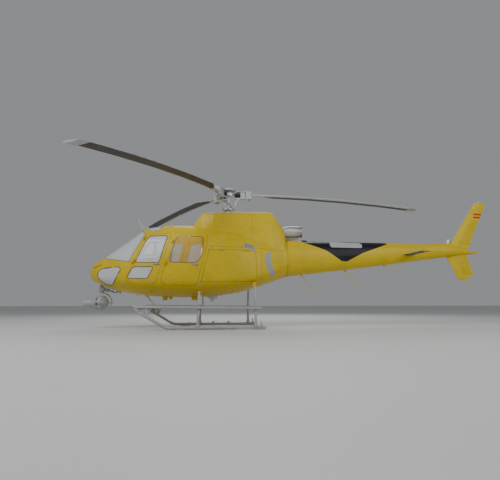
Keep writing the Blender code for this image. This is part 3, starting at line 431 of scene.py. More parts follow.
for cone in (foot, crown):
    studLink(treeStart.outputs["Sides"], cone.inputs["Vertices"])
studLink(treeStart.outputs["Radius"], foot.inputs["Radius Bottom"])
studLink(shareRadius.outputs[0], foot.inputs["Radius Top"])
studLink(treeStart.outputs["Height"], foot.inputs["Depth"])
studLink(shareRadius.outputs[0], crown.inputs["Radius Bottom"])
studLink(shareTop.outputs[0], crown.inputs["Radius Top"])
studLink(shareHeight.outputs[0], crown.inputs["Depth"])
studLink(treeStart.outputs["Height"], crownRise.inputs["Z"])
studLink(crown.outputs["Mesh"], lift.inputs["Geometry"])
studLink(crownRise.outputs[0], lift.inputs["Translation"])
studLink(foot.outputs["Mesh"], both.inputs["Geometry"])
studLink(lift.outputs["Geometry"], both.inputs["Geometry"])
studCopies = standing(studTree, treeStart, both.outputs["Geometry"],
                      namedField(studTree, "size", "FLOAT_VECTOR"))
endTree(studTree, studCopies, treeStart, treeEnd)

# a small plate with sloped edges, its own length, width and thickness at each point
plateTree, treeStart, treeEnd = startTree("platesOnSkin",
                                          [("Slope", "Float", 0.9), ("Finish", "Material", None)])
plateCube = treeNode(plateTree, "GeometryNodeMeshCube")
plateNormal = treeNode(plateTree, "GeometryNodeInputNormal")
plateSplit = treeNode(plateTree, "ShaderNodeSeparateXYZ")
plateTop = treeNode(plateTree, "FunctionNodeCompare", data_type="FLOAT", operation="GREATER_THAN")
plateTop.inputs["B"].default_value = 0.5
plateScale = treeNode(plateTree, "GeometryNodeScaleElements", domain="FACE")
plateLink = plateTree.links.new
plateLink(plateNormal.outputs[0], plateSplit.inputs[0])
plateLink(plateSplit.outputs["Z"], plateTop.inputs["A"])
plateLink(plateCube.outputs["Mesh"], plateScale.inputs["Geometry"])
plateLink(plateTop.outputs["Result"], plateScale.inputs["Selection"])
plateLink(treeStart.outputs["Slope"], plateScale.inputs["Scale"])
plateCopies = standing(
    plateTree, treeStart, plateScale.outputs["Geometry"], namedField(plateTree, "size", "FLOAT_VECTOR"))
endTree(plateTree, plateCopies, treeStart, treeEnd)

# a round bead or wire along each line, its thickness taken from the line's "size"
stripTree, treeStart, treeEnd = startTree("beadsAlongLines", [
    ("Radius", "Float", 0.004), ("Sides", "Int", 8), ("Finish", "Material", None),
])
stripCurve = treeNode(stripTree, "GeometryNodeMeshToCurve")
stripRound = treeNode(stripTree, "GeometryNodeCurvePrimitiveCircle")
stripSweep = treeNode(stripTree, "GeometryNodeCurveToMesh")
stripSweep.inputs["Fill Caps"].default_value = True
stripRadius = treeNode(stripTree, "GeometryNodeSetCurveRadius")
stripParts = treeNode(stripTree, "ShaderNodeSeparateXYZ")
stripLink = stripTree.links.new
stripLink(treeStart.outputs["Geometry"], stripCurve.inputs["Mesh"])
stripLink(namedField(stripTree, "size", "FLOAT_VECTOR"), stripParts.inputs[0])
stripLink(stripCurve.outputs["Curve"], stripRadius.inputs["Curve"])
stripLink(stripParts.outputs["X"], stripRadius.inputs["Radius"])
stripLink(treeStart.outputs["Sides"], stripRound.inputs["Resolution"])
stripLink(treeStart.outputs["Radius"], stripRound.inputs["Radius"])
stripLink(stripRadius.outputs["Curve"], stripSweep.inputs["Curve"])
stripLink(stripRound.outputs["Curve"], stripSweep.inputs["Profile Curve"])
if "Scale" in stripSweep.inputs:
    stripLink(stripParts.outputs["X"], stripSweep.inputs["Scale"])
endTree(stripTree, stripSweep.outputs["Mesh"], treeStart, treeEnd)


def runTree(name, tree, guide, finish, body, slot=None, smooth=40, **values):
    # the tree's result as a plain mesh on its own piece
    maker = bpy.data.objects.new(name + "Guide", guide)
    scene.collection.objects.link(maker)
    modifier = maker.modifiers.new("maker", "NODES")
    modifier.node_group = tree
    values["Finish"] = finish
    for item in tree.interface.items_tree:
        if item.in_out == "INPUT" and item.name in values:
            modifier[item.identifier] = values[item.name]
    graph = bpy.context.evaluated_depsgraph_get()
    mesh = bpy.data.meshes.new_from_object(maker.evaluated_get(graph), depsgraph=graph)
    bpy.data.objects.remove(maker)
    mesh.name = name
    for extra in ("facing", "along", "size"):
        if extra in mesh.attributes:
            mesh.attributes.remove(mesh.attributes[extra])
    return addPiece(name, rounded(mesh, smooth), finish, body)


def plainMark(place, facing):
    # a place for a round head, where its turn doesn't matter
    return place, facing, (1, 0, 0), (1, 1, 1)


def placeStuds(name, entries, finish, body, radius, height, sides, slot=None, smooth=40):
    return runTree(name, studTree, marks(entries), finish, body, slot, smooth,
                   Radius=radius, Height=height, Sides=sides)


def placeStrips(name, paths, finish, body, radius, sides, slot=None, closed=False, taper=None):
    return runTree(name, stripTree, lines(paths, closed, taper), finish, body, slot, 60,
                   Radius=radius, Sides=sides)


def placePlates(name, entries, finish, body, slope, slot):
    return runTree(name, plateTree, marks(entries), finish, body, slot, 30, Slope=slope)


def marks(entries):
    # entries are (place, facing, along, size) as loose points
    mesh = bpy.data.meshes.new("guide")
    mesh.from_pydata([tuple(e[0]) for e in entries], [], [])
    for k, label in ((1, "facing"), (2, "along"), (3, "size")):
        layer = mesh.attributes.new(label, "FLOAT_VECTOR", "POINT")
        layer.data.foreach_set("vector", np.array([tuple(e[k]) for e in entries], np.float32).ravel())
    return mesh


def lines(paths, closed, taper):
    # each path is a list of points; taper gives the thickness at its two ends
    vertices, edges, sizes = [], [], []
    for path in paths:
        base = len(vertices)
        vertices += [tuple(p) for p in path]
        edges += [(base + k, base + k + 1) for k in range(len(path) - 1)]
        if closed:
            edges.append((base + len(path) - 1, base))
        for k in range(len(path)):
            t = k / max(1, len(path) - 1)
            sizes.append((1.0 if taper is None else taper[0] * (1 - t) + taper[1] * t, 1.0, 1.0))
    mesh = bpy.data.meshes.new("guide")
    mesh.from_pydata(vertices, edges, [])
    layer = mesh.attributes.new("size", "FLOAT_VECTOR", "POINT")
    layer.data.foreach_set("vector", np.array(sizes, np.float32).ravel())
    return mesh


print("helpers and trees ready")


# shared shader groups
def startGroup(name, inputs, outputs):
    group = bpy.data.node_groups.new(name, "ShaderNodeTree")
    for label, kind, value in inputs:
        made = group.interface.new_socket(label, in_out="INPUT", socket_type="NodeSocket" + kind)
        if value is not None:
            made.default_value = value
    for label, kind in outputs:
        group.interface.new_socket(label, in_out="OUTPUT", socket_type="NodeSocket" + kind)
    return group, group.nodes.new("NodeGroupInput"), group.nodes.new("NodeGroupOutput")


def shaderMath(tree, operation, first, second=None, clamp=False):
    made = tree.nodes.new("ShaderNodeMath")
    made.operation = operation
    made.use_clamp = clamp
    for k, value in enumerate((first, second)):
        if value is None:
            continue
        if isinstance(value, (int, float)):
            made.inputs[k].default_value = value
        else:
            tree.links.new(value, made.inputs[k])
    return made.outputs[0]


def shaderRange(tree, value, low, high, toLow=0.0, toHigh=1.0, smooth=False):
    made = tree.nodes.new("ShaderNodeMapRange")
    made.interpolation_type = "SMOOTHSTEP" if smooth else "LINEAR"
    tree.links.new(value, made.inputs["Value"])
    for label, amount in (("From Min", low), ("From Max", high), ("To Min", toLow), ("To Max", toHigh)):
        if isinstance(amount, (int, float)):
            made.inputs[label].default_value = amount
        else:
            tree.links.new(amount, made.inputs[label])
    return made.outputs["Result"]


def shaderMix(tree, factor, first, second):
    made = tree.nodes.new("ShaderNodeMix")
    made.data_type = "RGBA"
    for socket, value in ((made.inputs[0], factor), (made.inputs[6], first), (made.inputs[7], second)):
        if isinstance(value, (int, float)):
            socket.default_value = value
        elif isinstance(value, tuple):
            socket.default_value = value if len(value) == 4 else (*value, 1.0)
        else:
            tree.links.new(value, socket)
    return made.outputs[2]


def shaderNoise(tree, vector, scale, detail=4.0, rough=0.5):
    made = tree.nodes.new("ShaderNodeTexNoise")
    tree.links.new(vector, made.inputs["Vector"])
    for label, amount in (("Scale", scale), ("Detail", detail), ("Roughness", rough)):
        if isinstance(amount, (int, float)):
            made.inputs[label].default_value = amount
        else:
            tree.links.new(amount, made.inputs[label])
    return made.outputs["Fac"]


def objectPlace(tree):
    return tree.nodes.new("ShaderNodeTexCoord").outputs["Object"]


# tone, roughness and height that wander a little over any painted or moulded surface, and a patchy mask low
# down that the paints use for dust and painted shade together
wearGroup, groupIn, groupOut = startGroup(
    "surfaceWear",
    [("Scale", "Float", 1.0), ("Grain", "Float", 400.0), ("Dust Low", "Float", 0.2),
     ("Dust High", "Float", 1.1)],
    [("Tone", "Float"), ("Rough", "Float"), ("Height", "Float"), ("Dust", "Float")])
place = objectPlace(wearGroup)
broad = shaderNoise(wearGroup, place, groupIn.outputs["Scale"], 5.0, 0.55)
fineScale = shaderMath(wearGroup, "MULTIPLY", groupIn.outputs["Scale"], 9.0)
middling = shaderNoise(wearGroup, place, fineScale, 3.0, 0.6)
grain = shaderNoise(wearGroup, place, groupIn.outputs["Grain"], 1.0, 0.5)
wearGroup.links.new(
    shaderMath(wearGroup, "ADD", shaderMath(wearGroup, "MULTIPLY", broad, 0.6),
               shaderMath(wearGroup, "MULTIPLY", middling, 0.4)), groupOut.inputs["Tone"])
wearGroup.links.new(
    shaderMath(wearGroup, "ADD", shaderMath(wearGroup, "MULTIPLY", middling, 0.7),
               shaderMath(wearGroup, "MULTIPLY", grain, 0.3)), groupOut.inputs["Rough"])
wearGroup.links.new(grain, groupOut.inputs["Height"])
split = wearGroup.nodes.new("ShaderNodeSeparateXYZ")
wearGroup.links.new(place, split.inputs[0])
lowDown = shaderRange(
    wearGroup, split.outputs["Z"], groupIn.outputs["Dust High"], groupIn.outputs["Dust Low"], smooth=True)
patchy = shaderRange(wearGroup, middling, 0.35, 0.7)
wearGroup.links.new(shaderMath(wearGroup, "MULTIPLY", lowDown, patchy), groupOut.inputs["Dust"])

# fine lines drawn out along one direction, for rolled, machined or brushed metal
brushGroup, groupIn, groupOut = startGroup(
    "brushedLines", [("Stretch", "Vector", (6.0, 300.0, 300.0))], [("Lines", "Float")])
mapping = brushGroup.nodes.new("ShaderNodeMapping")
brushGroup.links.new(objectPlace(brushGroup), mapping.inputs["Vector"])
brushGroup.links.new(groupIn.outputs["Stretch"], mapping.inputs["Scale"])
brushGroup.links.new(shaderNoise(brushGroup, mapping.outputs[0], 1.0, 3.0, 0.6), groupOut.inputs["Lines"])

# crossed threads, with a slow change of tone from bolt to bolt
weaveGroup, groupIn, groupOut = startGroup(
    "clothWeave", [("Threads", "Float", 700.0)], [("Height", "Float"), ("Tone", "Float")])
place = objectPlace(weaveGroup)
threads = []
for direction in ("X", "Z"):
    wave = weaveGroup.nodes.new("ShaderNodeTexWave")
    wave.bands_direction = direction
    wave.inputs["Distortion"].default_value = 0.6
    wave.inputs["Detail"].default_value = 1.0
    weaveGroup.links.new(place, wave.inputs["Vector"])
    weaveGroup.links.new(groupIn.outputs["Threads"], wave.inputs["Scale"])
    threads.append(wave.outputs["Fac"])
weaveGroup.links.new(shaderMath(weaveGroup, "MAXIMUM", threads[0], threads[1]), groupOut.inputs["Height"])
weaveGroup.links.new(shaderNoise(weaveGroup, place, 9.0, 4.0, 0.6), groupOut.inputs["Tone"])

# a mask that is 1 between two heights read off curves of the station
bandGroup, groupIn, groupOut = startGroup(
    "bandMask", [("Value", "Float", 0.0), ("Low", "Float", 0.0), ("High", "Float", 1.0),
                 ("Edge", "Float", 0.002)],
    [("Mask", "Float")])
above = shaderMath(bandGroup, "DIVIDE", shaderMath(
    bandGroup, "SUBTRACT", groupIn.outputs["Value"], groupIn.outputs["Low"]), groupIn.outputs["Edge"],
    clamp=True)
below = shaderMath(bandGroup, "DIVIDE", shaderMath(
    bandGroup, "SUBTRACT", groupIn.outputs["High"], groupIn.outputs["Value"]), groupIn.outputs["Edge"],
    clamp=True)
bandGroup.links.new(shaderMath(bandGroup, "MULTIPLY", above, below), groupOut.inputs["Mask"])


def useGroup(tree, group, **values):
    made = tree.nodes.new("ShaderNodeGroup")
    made.node_tree = group
    for label, value in values.items():
        socket = made.inputs[label.replace("_", " ")]
        if isinstance(value, (int, float, tuple)):
            socket.default_value = value
        else:
            tree.links.new(value, socket)
    return made


# materials
def startMaterial(name, shade, rough=0.4, metal=0.0, coat=0.0, see=None):
    made = bpy.data.materials.new(name)
    made.use_nodes = True
    tree = made.node_tree
    shader = tree.nodes["Principled BSDF"]
    shader.inputs["Metallic"].default_value = metal
    shader.inputs["Roughness"].default_value = rough
    if coat:
        shader.inputs["Coat Weight"].default_value = coat
        shader.inputs["Coat Roughness"].default_value = 0.08
    if see is not None:
        shader.inputs["Alpha"].default_value = see
    made.diffuse_color = (*shade, 1.0)
    return made, tree, shader


def addBump(tree, shader, height, strength=0.2, distance=0.001):
    bump = tree.nodes.new("ShaderNodeBump")
    bump.inputs["Strength"].default_value = strength
    bump.inputs["Distance"].default_value = distance
    tree.links.new(height, bump.inputs["Height"])
    tree.links.new(bump.outputs[0], shader.inputs["Normal"])


# grey-brown that the paints turn towards low down, partly dust and partly painted shade
dustAndShadeTone = (0.30, 0.27, 0.21)


def linkRough(tree, shader, wear, low, high):
    tree.links.new(shaderRange(tree, wear.outputs["Rough"], 0.3, 0.7, low, high), shader.inputs["Roughness"])


def paintFinish(name, shade, rough=0.44, coat=0.10, spread=0.10, scale=1.4, dustAndShade=0.35, low=0.3, high=1.3,
                marksOn=None, bump=0.08):
    # sprayed paint: a slow drift in tone, a light orange-peel skin, and a greyer, darker tone towards the
    # ground that is partly dust and partly painted shade
    made, tree, shader = startMaterial(name, shade, rough, coat=coat)
    shader.inputs["Specular IOR Level"].default_value = 0.32
    wear = useGroup(tree, wearGroup, Scale=scale, Grain=260.0, Dust_Low=low, Dust_High=high)
    dark = tuple(c * (1 - spread) for c in shade)
    light = tuple(min(1.0, c * (1 + spread)) for c in shade)
    tone = shaderRange(tree, wear.outputs["Tone"], 0.36, 0.64)
    colour = shaderMix(tree, tone, dark, light)
    if marksOn:
        colour = marksOn(tree, colour)
    # painted shade and dust: the colour darkens towards grey-brown where the low-down mask is strong
    dustAndShadeShare = shaderMath(tree, "MULTIPLY", wear.outputs["Dust"], dustAndShade)
    colour = shaderMix(tree, dustAndShadeShare, colour, dustAndShadeTone)
    tree.links.new(colour, shader.inputs["Base Color"])
    finish = shaderMath(tree, "ADD", shaderRange(tree, wear.outputs["Rough"], 0.3, 0.7, rough - 0.06,
                                                 rough + 0.08),
                        shaderMath(tree, "MULTIPLY", dustAndShadeShare, 0.35))
    tree.links.new(finish, shader.inputs["Roughness"])
    addBump(tree, shader, wear.outputs["Height"], bump, 0.0006)
    return made


def splitPlace(tree):
    made = tree.nodes.new("ShaderNodeSeparateXYZ")
    tree.links.new(objectPlace(tree), made.inputs[0])
    return made.outputs


def readOff(tree, value, points, lowX, highX, lowY, highY, curved=False):
    # the height of a drawn line at a station, or its station at a height
    share = shaderRange(tree, value, lowX, highX)
    line = tree.nodes.new("ShaderNodeFloatCurve")
    curve = line.mapping.curves[0]
    spots = [((x - lowX) / (highX - lowX), (y - lowY) / (highY - lowY)) for x, y in points]
    while len(curve.points) < len(spots):
        curve.points.new(0.5, 0.5)
    for point, (x, y) in zip(curve.points, spots):
        point.location = (x, y)
        point.handle_type = "AUTO" if curved else "VECTOR"
    line.mapping.update()
    tree.links.new(share, line.inputs["Value"])
    return shaderRange(tree, line.outputs[0], 0.0, 1.0, lowY, highY)


hullYellow = (0.60, 0.43, 0.001)
crescent = dict(
    forward=((1.115, 1.249), (1.03, 1.39), (0.968, 1.537), (0.945, 1.70), (0.954, 1.868)),
    aft=((1.115, 1.249), (1.22, 1.374), (1.14, 1.49), (1.088, 1.614), (1.082, 1.76), (1.106, 1.908)),
    grey=(0.31, 0.32, 0.33))


def hullMarks(tree, colour):
    # the grey crescent behind the baggage bay
    x, _, z = splitPlace(tree)
    station = shaderMath(tree, "SUBTRACT", x, mastX)
    front = readOff(tree, z, [(h, s) for s, h in crescent["forward"]], 1.249, 1.92, 0.90, 1.25, True)
    back = readOff(tree, z, [(h, s) for s, h in crescent["aft"]], 1.249, 1.92, 0.90, 1.25)
    across = useGroup(tree, bandGroup, Value=station, Low=front, High=back, Edge=0.002).outputs[0]
    slant = shaderMath(tree, "ADD", shaderMath(tree, "MULTIPLY", station, 0.263), 1.617)
    tall = useGroup(tree, bandGroup, Value=z, Low=1.249, High=slant, Edge=0.002).outputs[0]
    return shaderMix(tree, shaderMath(tree, "MULTIPLY", across, tall), colour, crescent["grey"])


patch = dict(
    lower=((1.983, 2.228), (2.613, 2.009), (3.036, 1.734), (3.191, 1.718), (3.63, 1.954), (4.401, 2.232)),
    black=(0.004, 0.005, 0.009), panel=(2.741, 3.65, 2.10, 2.255), corner=0.06, white=(0.40, 0.41, 0.42))


def boomMarks(tree, colour):
    # the black patch over the boom, its lower edge a wide V
    x, _, z = splitPlace(tree)
    station = shaderMath(tree, "SUBTRACT", x, mastX)
    edge = readOff(tree, station, patch["lower"], 1.983, 4.401, 1.60, 2.30)
    along = useGroup(tree, bandGroup, Value=station, Low=1.983, High=4.401, Edge=0.002).outputs[0]
    inside = useGroup(tree, bandGroup, Value=z, Low=edge, High=9.0, Edge=0.002).outputs[0]
    colour = shaderMix(tree, shaderMath(tree, "MULTIPLY", along, inside), colour, patch["black"])
    low, high, base, top = patch["panel"]
    # the pale panel on it, with rounded ends
    flat = shaderMath(tree, "SUBTRACT",
                      shaderMath(tree, "ABSOLUTE", shaderMath(tree, "SUBTRACT", station, (low + high) / 2)),
                      (high - low) / 2 - patch["corner"])
    rise = shaderMath(tree, "SUBTRACT",
                      shaderMath(tree, "ABSOLUTE", shaderMath(tree, "SUBTRACT", z, (base + top) / 2)),
                      (top - base) / 2 - patch["corner"])
    flat, rise = (shaderMath(tree, "MAXIMUM", value, 0.0) for value in (flat, rise))
    away = shaderMath(tree, "SQRT", shaderMath(tree, "ADD", shaderMath(tree, "MULTIPLY", flat, flat),
                                               shaderMath(tree, "MULTIPLY", rise, rise)))
    return shaderMix(tree, shaderRange(tree, away, patch["corner"] + 0.001, patch["corner"] - 0.001), colour,
                     patch["white"])


finBands = dict(front=7.14, rows=((3.178, 3.226), (3.086, 3.134)), red=(0.55, 0.016, 0.012))


def finMarks(tree, colour):
    # two red bands near the top of the fin
    x, _, z = splitPlace(tree)
    station = shaderMath(tree, "SUBTRACT", x, mastX)
    for low, high in finBands["rows"]:
        tall = useGroup(tree, bandGroup, Value=z, Low=low, High=high, Edge=0.001).outputs[0]
        along = useGroup(tree, bandGroup, Value=station, Low=finBands["front"], High=9.0,
                         Edge=0.002).outputs[0]
        colour = shaderMix(tree, shaderMath(tree, "MULTIPLY", tall, along), colour, finBands["red"])
    return colour


def underMarks(tree, colour):
    # painted shade: faces of the stabiliser that turn downward are darkened
    facing = tree.nodes.new("ShaderNodeNewGeometry")
    normal = tree.nodes.new("ShaderNodeSeparateXYZ")
    tree.links.new(facing.outputs["Normal"], normal.inputs[0])
    return shaderMix(tree, shaderRange(tree, normal.outputs["Z"], -0.15, -0.45), colour,
                     (0.045, 0.038, 0.010))


hullPaint = paintFinish("hullYellow", hullYellow, marksOn=hullMarks)
doorPaint = paintFinish("doorYellow", hullYellow)
boomPaint = paintFinish("boomYellow", (0.62, 0.445, 0.001), marksOn=boomMarks, low=0.6, high=1.9)
finPaint = paintFinish("finYellow", (0.66, 0.48, 0.002), marksOn=finMarks, dustAndShade=0.1)
stabiliserPaint = paintFinish("stabiliserYellow", (0.60, 0.43, 0.001), marksOn=underMarks, dustAndShade=0.1)
# painted shade: the fin ribs are a darker yellow so their corrugations read as shaded lines
ribShadePaint = paintFinish("ribShadedYellow", (0.30, 0.21, 0.001), rough=0.5, dustAndShade=0.0)
fittingPaint = paintFinish("fittingYellow", (0.62, 0.43, 0.012), rough=0.45, scale=6.0)
darkYellow = paintFinish("shadedYellow", (0.20, 0.14, 0.006), rough=0.6, coat=0.0)
gearPaint = paintFinish(
    "gearGrey", (0.38, 0.39, 0.395), rough=0.42, coat=0.1, scale=5.0, dustAndShade=0.5, low=0.0, high=0.5)
plateGrey = paintFinish("plateGrey", (0.36, 0.37, 0.37), rough=0.45, coat=0.0, scale=14.0)
whitePaint = paintFinish("whitePanel", patch["white"], rough=0.35, coat=0.2, scale=4.0, spread=0.05)
# dark paint for the console, grips, hump, cable and sill dots, and painted shade in slots, gaps and handle
# wells
darkPaintAndShade = paintFinish("darkPanelAndShade", (0.016, 0.016, 0.018), rough=0.5, coat=0.0, scale=8.0, spread=0.25,
                        dustAndShade=0.1)
innerGrey = paintFinish("trimGrey", (0.20, 0.205, 0.21), rough=0.6, coat=0.0, scale=8.0, dustAndShade=0.0, bump=0.2)
cameraPaint = paintFinish("sensorGrey", (0.33, 0.34, 0.35), rough=0.4, coat=0.1, scale=12.0, dustAndShade=0.0)


def metalFinish(name, shade, rough=0.34, stretch=(8.0, 240.0, 240.0), heat=None):
    made, tree, shader = startMaterial(name, shade, rough, 1.0)
    lines = useGroup(tree, brushGroup, Stretch=stretch).outputs["Lines"]
    wear = useGroup(tree, wearGroup, Scale=11.0, Grain=900.0, Dust_Low=0.0, Dust_High=0.01)
    colour = shaderMix(tree, wear.outputs["Tone"], tuple(c * 0.72 for c in shade),
                       tuple(min(1, c * 1.15) for c in shade))
    if heat:
        x, _, _ = splitPlace(tree)
        hot = shaderRange(tree, x, heat[0] + mastX, heat[1] + mastX, smooth=True)
        patchy = shaderMath(tree, "MULTIPLY", hot,
                            shaderRange(tree, wear.outputs["Rough"], 0.3, 0.7, 0.5, 1.0))
        colour = shaderMix(tree, patchy, colour, heat[2])
    tree.links.new(colour, shader.inputs["Base Color"])
    tree.links.new(shaderRange(tree, lines, 0.3, 0.7, rough - 0.08, rough + 0.12), shader.inputs["Roughness"])
    addBump(tree, shader, lines, 0.15, 0.0004)
    return made


steel = metalFinish("machinedSteel", (0.60, 0.61, 0.62))
alloy = metalFinish("castAlloy", (0.66, 0.67, 0.68), rough=0.42, stretch=(90.0, 90.0, 90.0))
exhaustSteel = metalFinish(
    "exhaustSteel", (0.70, 0.70, 0.69), rough=0.38, stretch=(200.0, 30.0, 30.0),
    heat=(1.72, 2.02, (0.34, 0.30, 0.27)))
boltSteel = metalFinish("boltSteel", (0.36, 0.36, 0.37), rough=0.4, stretch=(300.0, 300.0, 300.0))


def rubberFinish(name, shade, rough=0.75):
    made, tree, shader = startMaterial(name, shade, rough)
    wear = useGroup(tree, wearGroup, Scale=18.0, Grain=700.0, Dust_Low=0.2, Dust_High=1.6)
    colour = shaderMix(tree, wear.outputs["Tone"], tuple(c * 0.6 for c in shade),
                       tuple(c * 1.5 for c in shade))
    tree.links.new(colour, shader.inputs["Base Color"])
    linkRough(tree, shader, wear, rough - 0.1, rough + 0.1)
    addBump(tree, shader, wear.outputs["Height"], 0.3, 0.0006)
    return made


sealRubber = rubberFinish("sealRubber", (0.035, 0.035, 0.037))
hubRubber = rubberFinish("hubRubber", (0.02, 0.02, 0.022), 0.6)
treadRubber = rubberFinish("stepGrip", (0.06, 0.06, 0.062), 0.9)


def paneFinish(name, shade, see, rough=0.08):
    # tinted acrylic: faint haze and dust, seen through as far as alpha says
    made, tree, shader = startMaterial(name, shade, rough, see=see)
    wear = useGroup(tree, wearGroup, Scale=2.2, Grain=60.0, Dust_Low=0.9, Dust_High=1.9)
    colour = shaderMix(tree, wear.outputs["Tone"], tuple(c * 0.92 for c in shade),
                       tuple(min(1, c * 1.06) for c in shade))
    tree.links.new(colour, shader.inputs["Base Color"])
    linkRough(tree, shader, wear, rough, rough + 0.09)
    alpha = shaderMath(tree, "ADD", shaderRange(tree, wear.outputs["Tone"], 0.3, 0.7, see - 0.03, see + 0.03),
                       shaderMath(tree, "MULTIPLY", wear.outputs["Dust"], 0.08), clamp=True)
    rays = tree.nodes.new("ShaderNodeLightPath")  # lamp and bounced light pass into the cabin
    inward = shaderMath(tree, "MAXIMUM", rays.outputs["Is Shadow Ray"], rays.outputs["Is Diffuse Ray"])
    alpha = shaderMix(tree, inward, alpha, shaderMath(tree, "MULTIPLY", alpha, 0.12))
    tree.links.new(alpha, shader.inputs["Alpha"])
    shader.inputs["IOR"].default_value = 1.49
    return made


paneGlass = paneFinish("paneGrey", (0.55, 0.56, 0.58), 0.80)
clearGlass = paneFinish("paneClear", (0.60, 0.62, 0.63), 0.05)
lampGlass = paneFinish("lampGlass", (0.75, 0.77, 0.78), 0.55)


def lensFinish():
    made, tree, shader = startMaterial("lensGlass", (0.02, 0.025, 0.04), 0.05, coat=1.0)
    # painted reflection: the base colour turns from near black to a purple sheen towards grazing angles
    facing = tree.nodes.new("ShaderNodeLayerWeight")
    facing.inputs["Blend"].default_value = 0.35
    wear = useGroup(tree, wearGroup, Scale=20.0, Grain=80.0, Dust_Low=0.0, Dust_High=0.01)
    paintedSheen = shaderMix(tree, facing.outputs["Facing"], (0.008, 0.010, 0.02), (0.05, 0.03, 0.09))
    tree.links.new(paintedSheen, shader.inputs["Base Color"])
    linkRough(tree, shader, wear, 0.03, 0.09)
    return made


lensGlass = lensFinish()


def clothFinish(name, shade, threads=620.0):
    made, tree, shader = startMaterial(name, shade, 0.9)
    weave = useGroup(tree, weaveGroup, Threads=threads)
    colour = shaderMix(tree, weave.outputs["Tone"], tuple(c * 0.75 for c in shade),
                       tuple(c * 1.3 for c in shade))
    colour = shaderMix(tree, shaderMath(tree, "MULTIPLY", weave.outputs["Height"], 0.35), colour,
                       tuple(min(1, c * 1.9) for c in shade))
    tree.links.new(colour, shader.inputs["Base Color"])
    tree.links.new(shaderRange(tree, weave.outputs["Height"], 0.0, 1.0, 0.95, 0.82),
                   shader.inputs["Roughness"])
    shader.inputs["Sheen Weight"].default_value = 0.25
    addBump(tree, shader, weave.outputs["Height"], 0.5, 0.0008)
    return made


seatCloth = clothFinish("seatCloth", (0.075, 0.085, 0.105))
beltCloth = clothFinish("beltWebbing", (0.03, 0.03, 0.033), 900.0)
pipingCloth = clothFinish("seatPiping", (0.26, 0.20, 0.02), 900.0)
floorMat = clothFinish("floorMat", (0.05, 0.05, 0.055), 300.0)


# pale is the blade lit from above, the dark tones are painted shade for faces turned down, edge is a painted
# highlight; tip and root are real greys
bladeTones = dict(
    pale=((0.44, 0.445, 0.45), (0.58, 0.585, 0.59)), under=((0.030, 0.027, 0.024), (0.060, 0.053, 0.046)),
    edge=(0.60, 0.605, 0.61), tip=(0.40, 0.405, 0.41), root=(0.46, 0.47, 0.48))


def bladeFinish():
    # painted light and shade: pale on faces turned up and a painted highlight along the leading edge, painted
    # shade in dark brown-grey on faces turned down; grey tips and roots are the blade's own colour
    made, tree, shader = startMaterial("bladeSkin", (0.5, 0.5, 0.5), 0.5)
    wear = useGroup(tree, wearGroup, Scale=2.0, Grain=420.0, Dust_Low=0.0, Dust_High=0.01)
    facing = tree.nodes.new("ShaderNodeNewGeometry")
    normal = tree.nodes.new("ShaderNodeSeparateXYZ")
    tree.links.new(facing.outputs["Normal"], normal.inputs[0])
    # painted light and shade: faces turned up take the pale tone, faces turned down the dark one
    top = shaderRange(tree, normal.outputs["Z"], -0.35, 0.05, smooth=True)
    x, y, _ = splitPlace(tree)
    station = shaderMath(tree, "SUBTRACT", x, mastX)
    reach = shaderMath(tree, "SQRT", shaderMath(
        tree, "ADD", shaderMath(tree, "MULTIPLY", station, station), shaderMath(tree, "MULTIPLY", y, y)))
    pale = shaderMix(tree, wear.outputs["Tone"], *bladeTones["pale"])
    under = shaderMix(tree, wear.outputs["Tone"], *bladeTones["under"])
    colour = shaderMix(tree, top, under, pale)
    for turn in (0, 120, 240):
        a = math.radians(turn)
        along = shaderMath(tree, "ADD", shaderMath(tree, "MULTIPLY", station, math.cos(a)),
                           shaderMath(tree, "MULTIPLY", y, math.sin(a)))
        across = shaderMath(tree, "SUBTRACT", shaderMath(tree, "MULTIPLY", y, math.cos(a)),
                            shaderMath(tree, "MULTIPLY", station, math.sin(a)))
        # painted highlight: a pale band along each blade's leading edge, over top and underside alike
        litEdgeStrip = useGroup(tree, bandGroup, Value=across, Low=-0.12, High=0.0, Edge=0.004).outputs[0]
        ahead = shaderRange(tree, along, 0.60, 0.62)
        colour = shaderMix(tree, shaderMath(tree, "MULTIPLY", litEdgeStrip, ahead), colour, bladeTones["edge"])
    tip = shaderRange(tree, reach, 5.125, 5.13)
    colour = shaderMix(tree, tip, colour, bladeTones["tip"])
    root = shaderRange(tree, reach, 0.90, 0.88)
    colour = shaderMix(tree, root, colour, bladeTones["root"])
    tree.links.new(colour, shader.inputs["Base Color"])
    linkRough(tree, shader, wear, 0.42, 0.62)
    addBump(tree, shader, wear.outputs["Height"], 0.12, 0.0005)
    return made


bladeSkin = bladeFinish()


def dialFinish(name, glow):
    # a lit instrument face: dark ground with a soft grid of marks
    made, tree, shader = startMaterial(name, (0.02, 0.02, 0.025), 0.25, coat=0.6)
    place = objectPlace(tree)
    wear = useGroup(tree, wearGroup, Scale=30.0, Grain=300.0, Dust_Low=0.0, Dust_High=0.01)
    brick = tree.nodes.new("ShaderNodeTexBrick")
    brick.inputs["Scale"].default_value = 16.0
    brick.inputs["Color1"].default_value = (0.015, 0.016, 0.02, 1)
    brick.inputs["Color2"].default_value = (0.03, 0.032, 0.04, 1)
    brick.inputs["Mortar"].default_value = (*glow, 1)
    brick.inputs["Mortar Size"].default_value = 0.03
    turned = tree.nodes.new("ShaderNodeMapping")
    turned.inputs["Rotation"].default_value = (0.0, math.radians(90), 0.0)
    tree.links.new(place, turned.inputs["Vector"])
    tree.links.new(turned.outputs[0], brick.inputs["Vector"])
    colour = shaderMix(tree, wear.outputs["Tone"], (0.01, 0.01, 0.012), brick.outputs["Color"])
    tree.links.new(colour, shader.inputs["Base Color"])
    linkRough(tree, shader, wear, 0.12, 0.3)
    return made


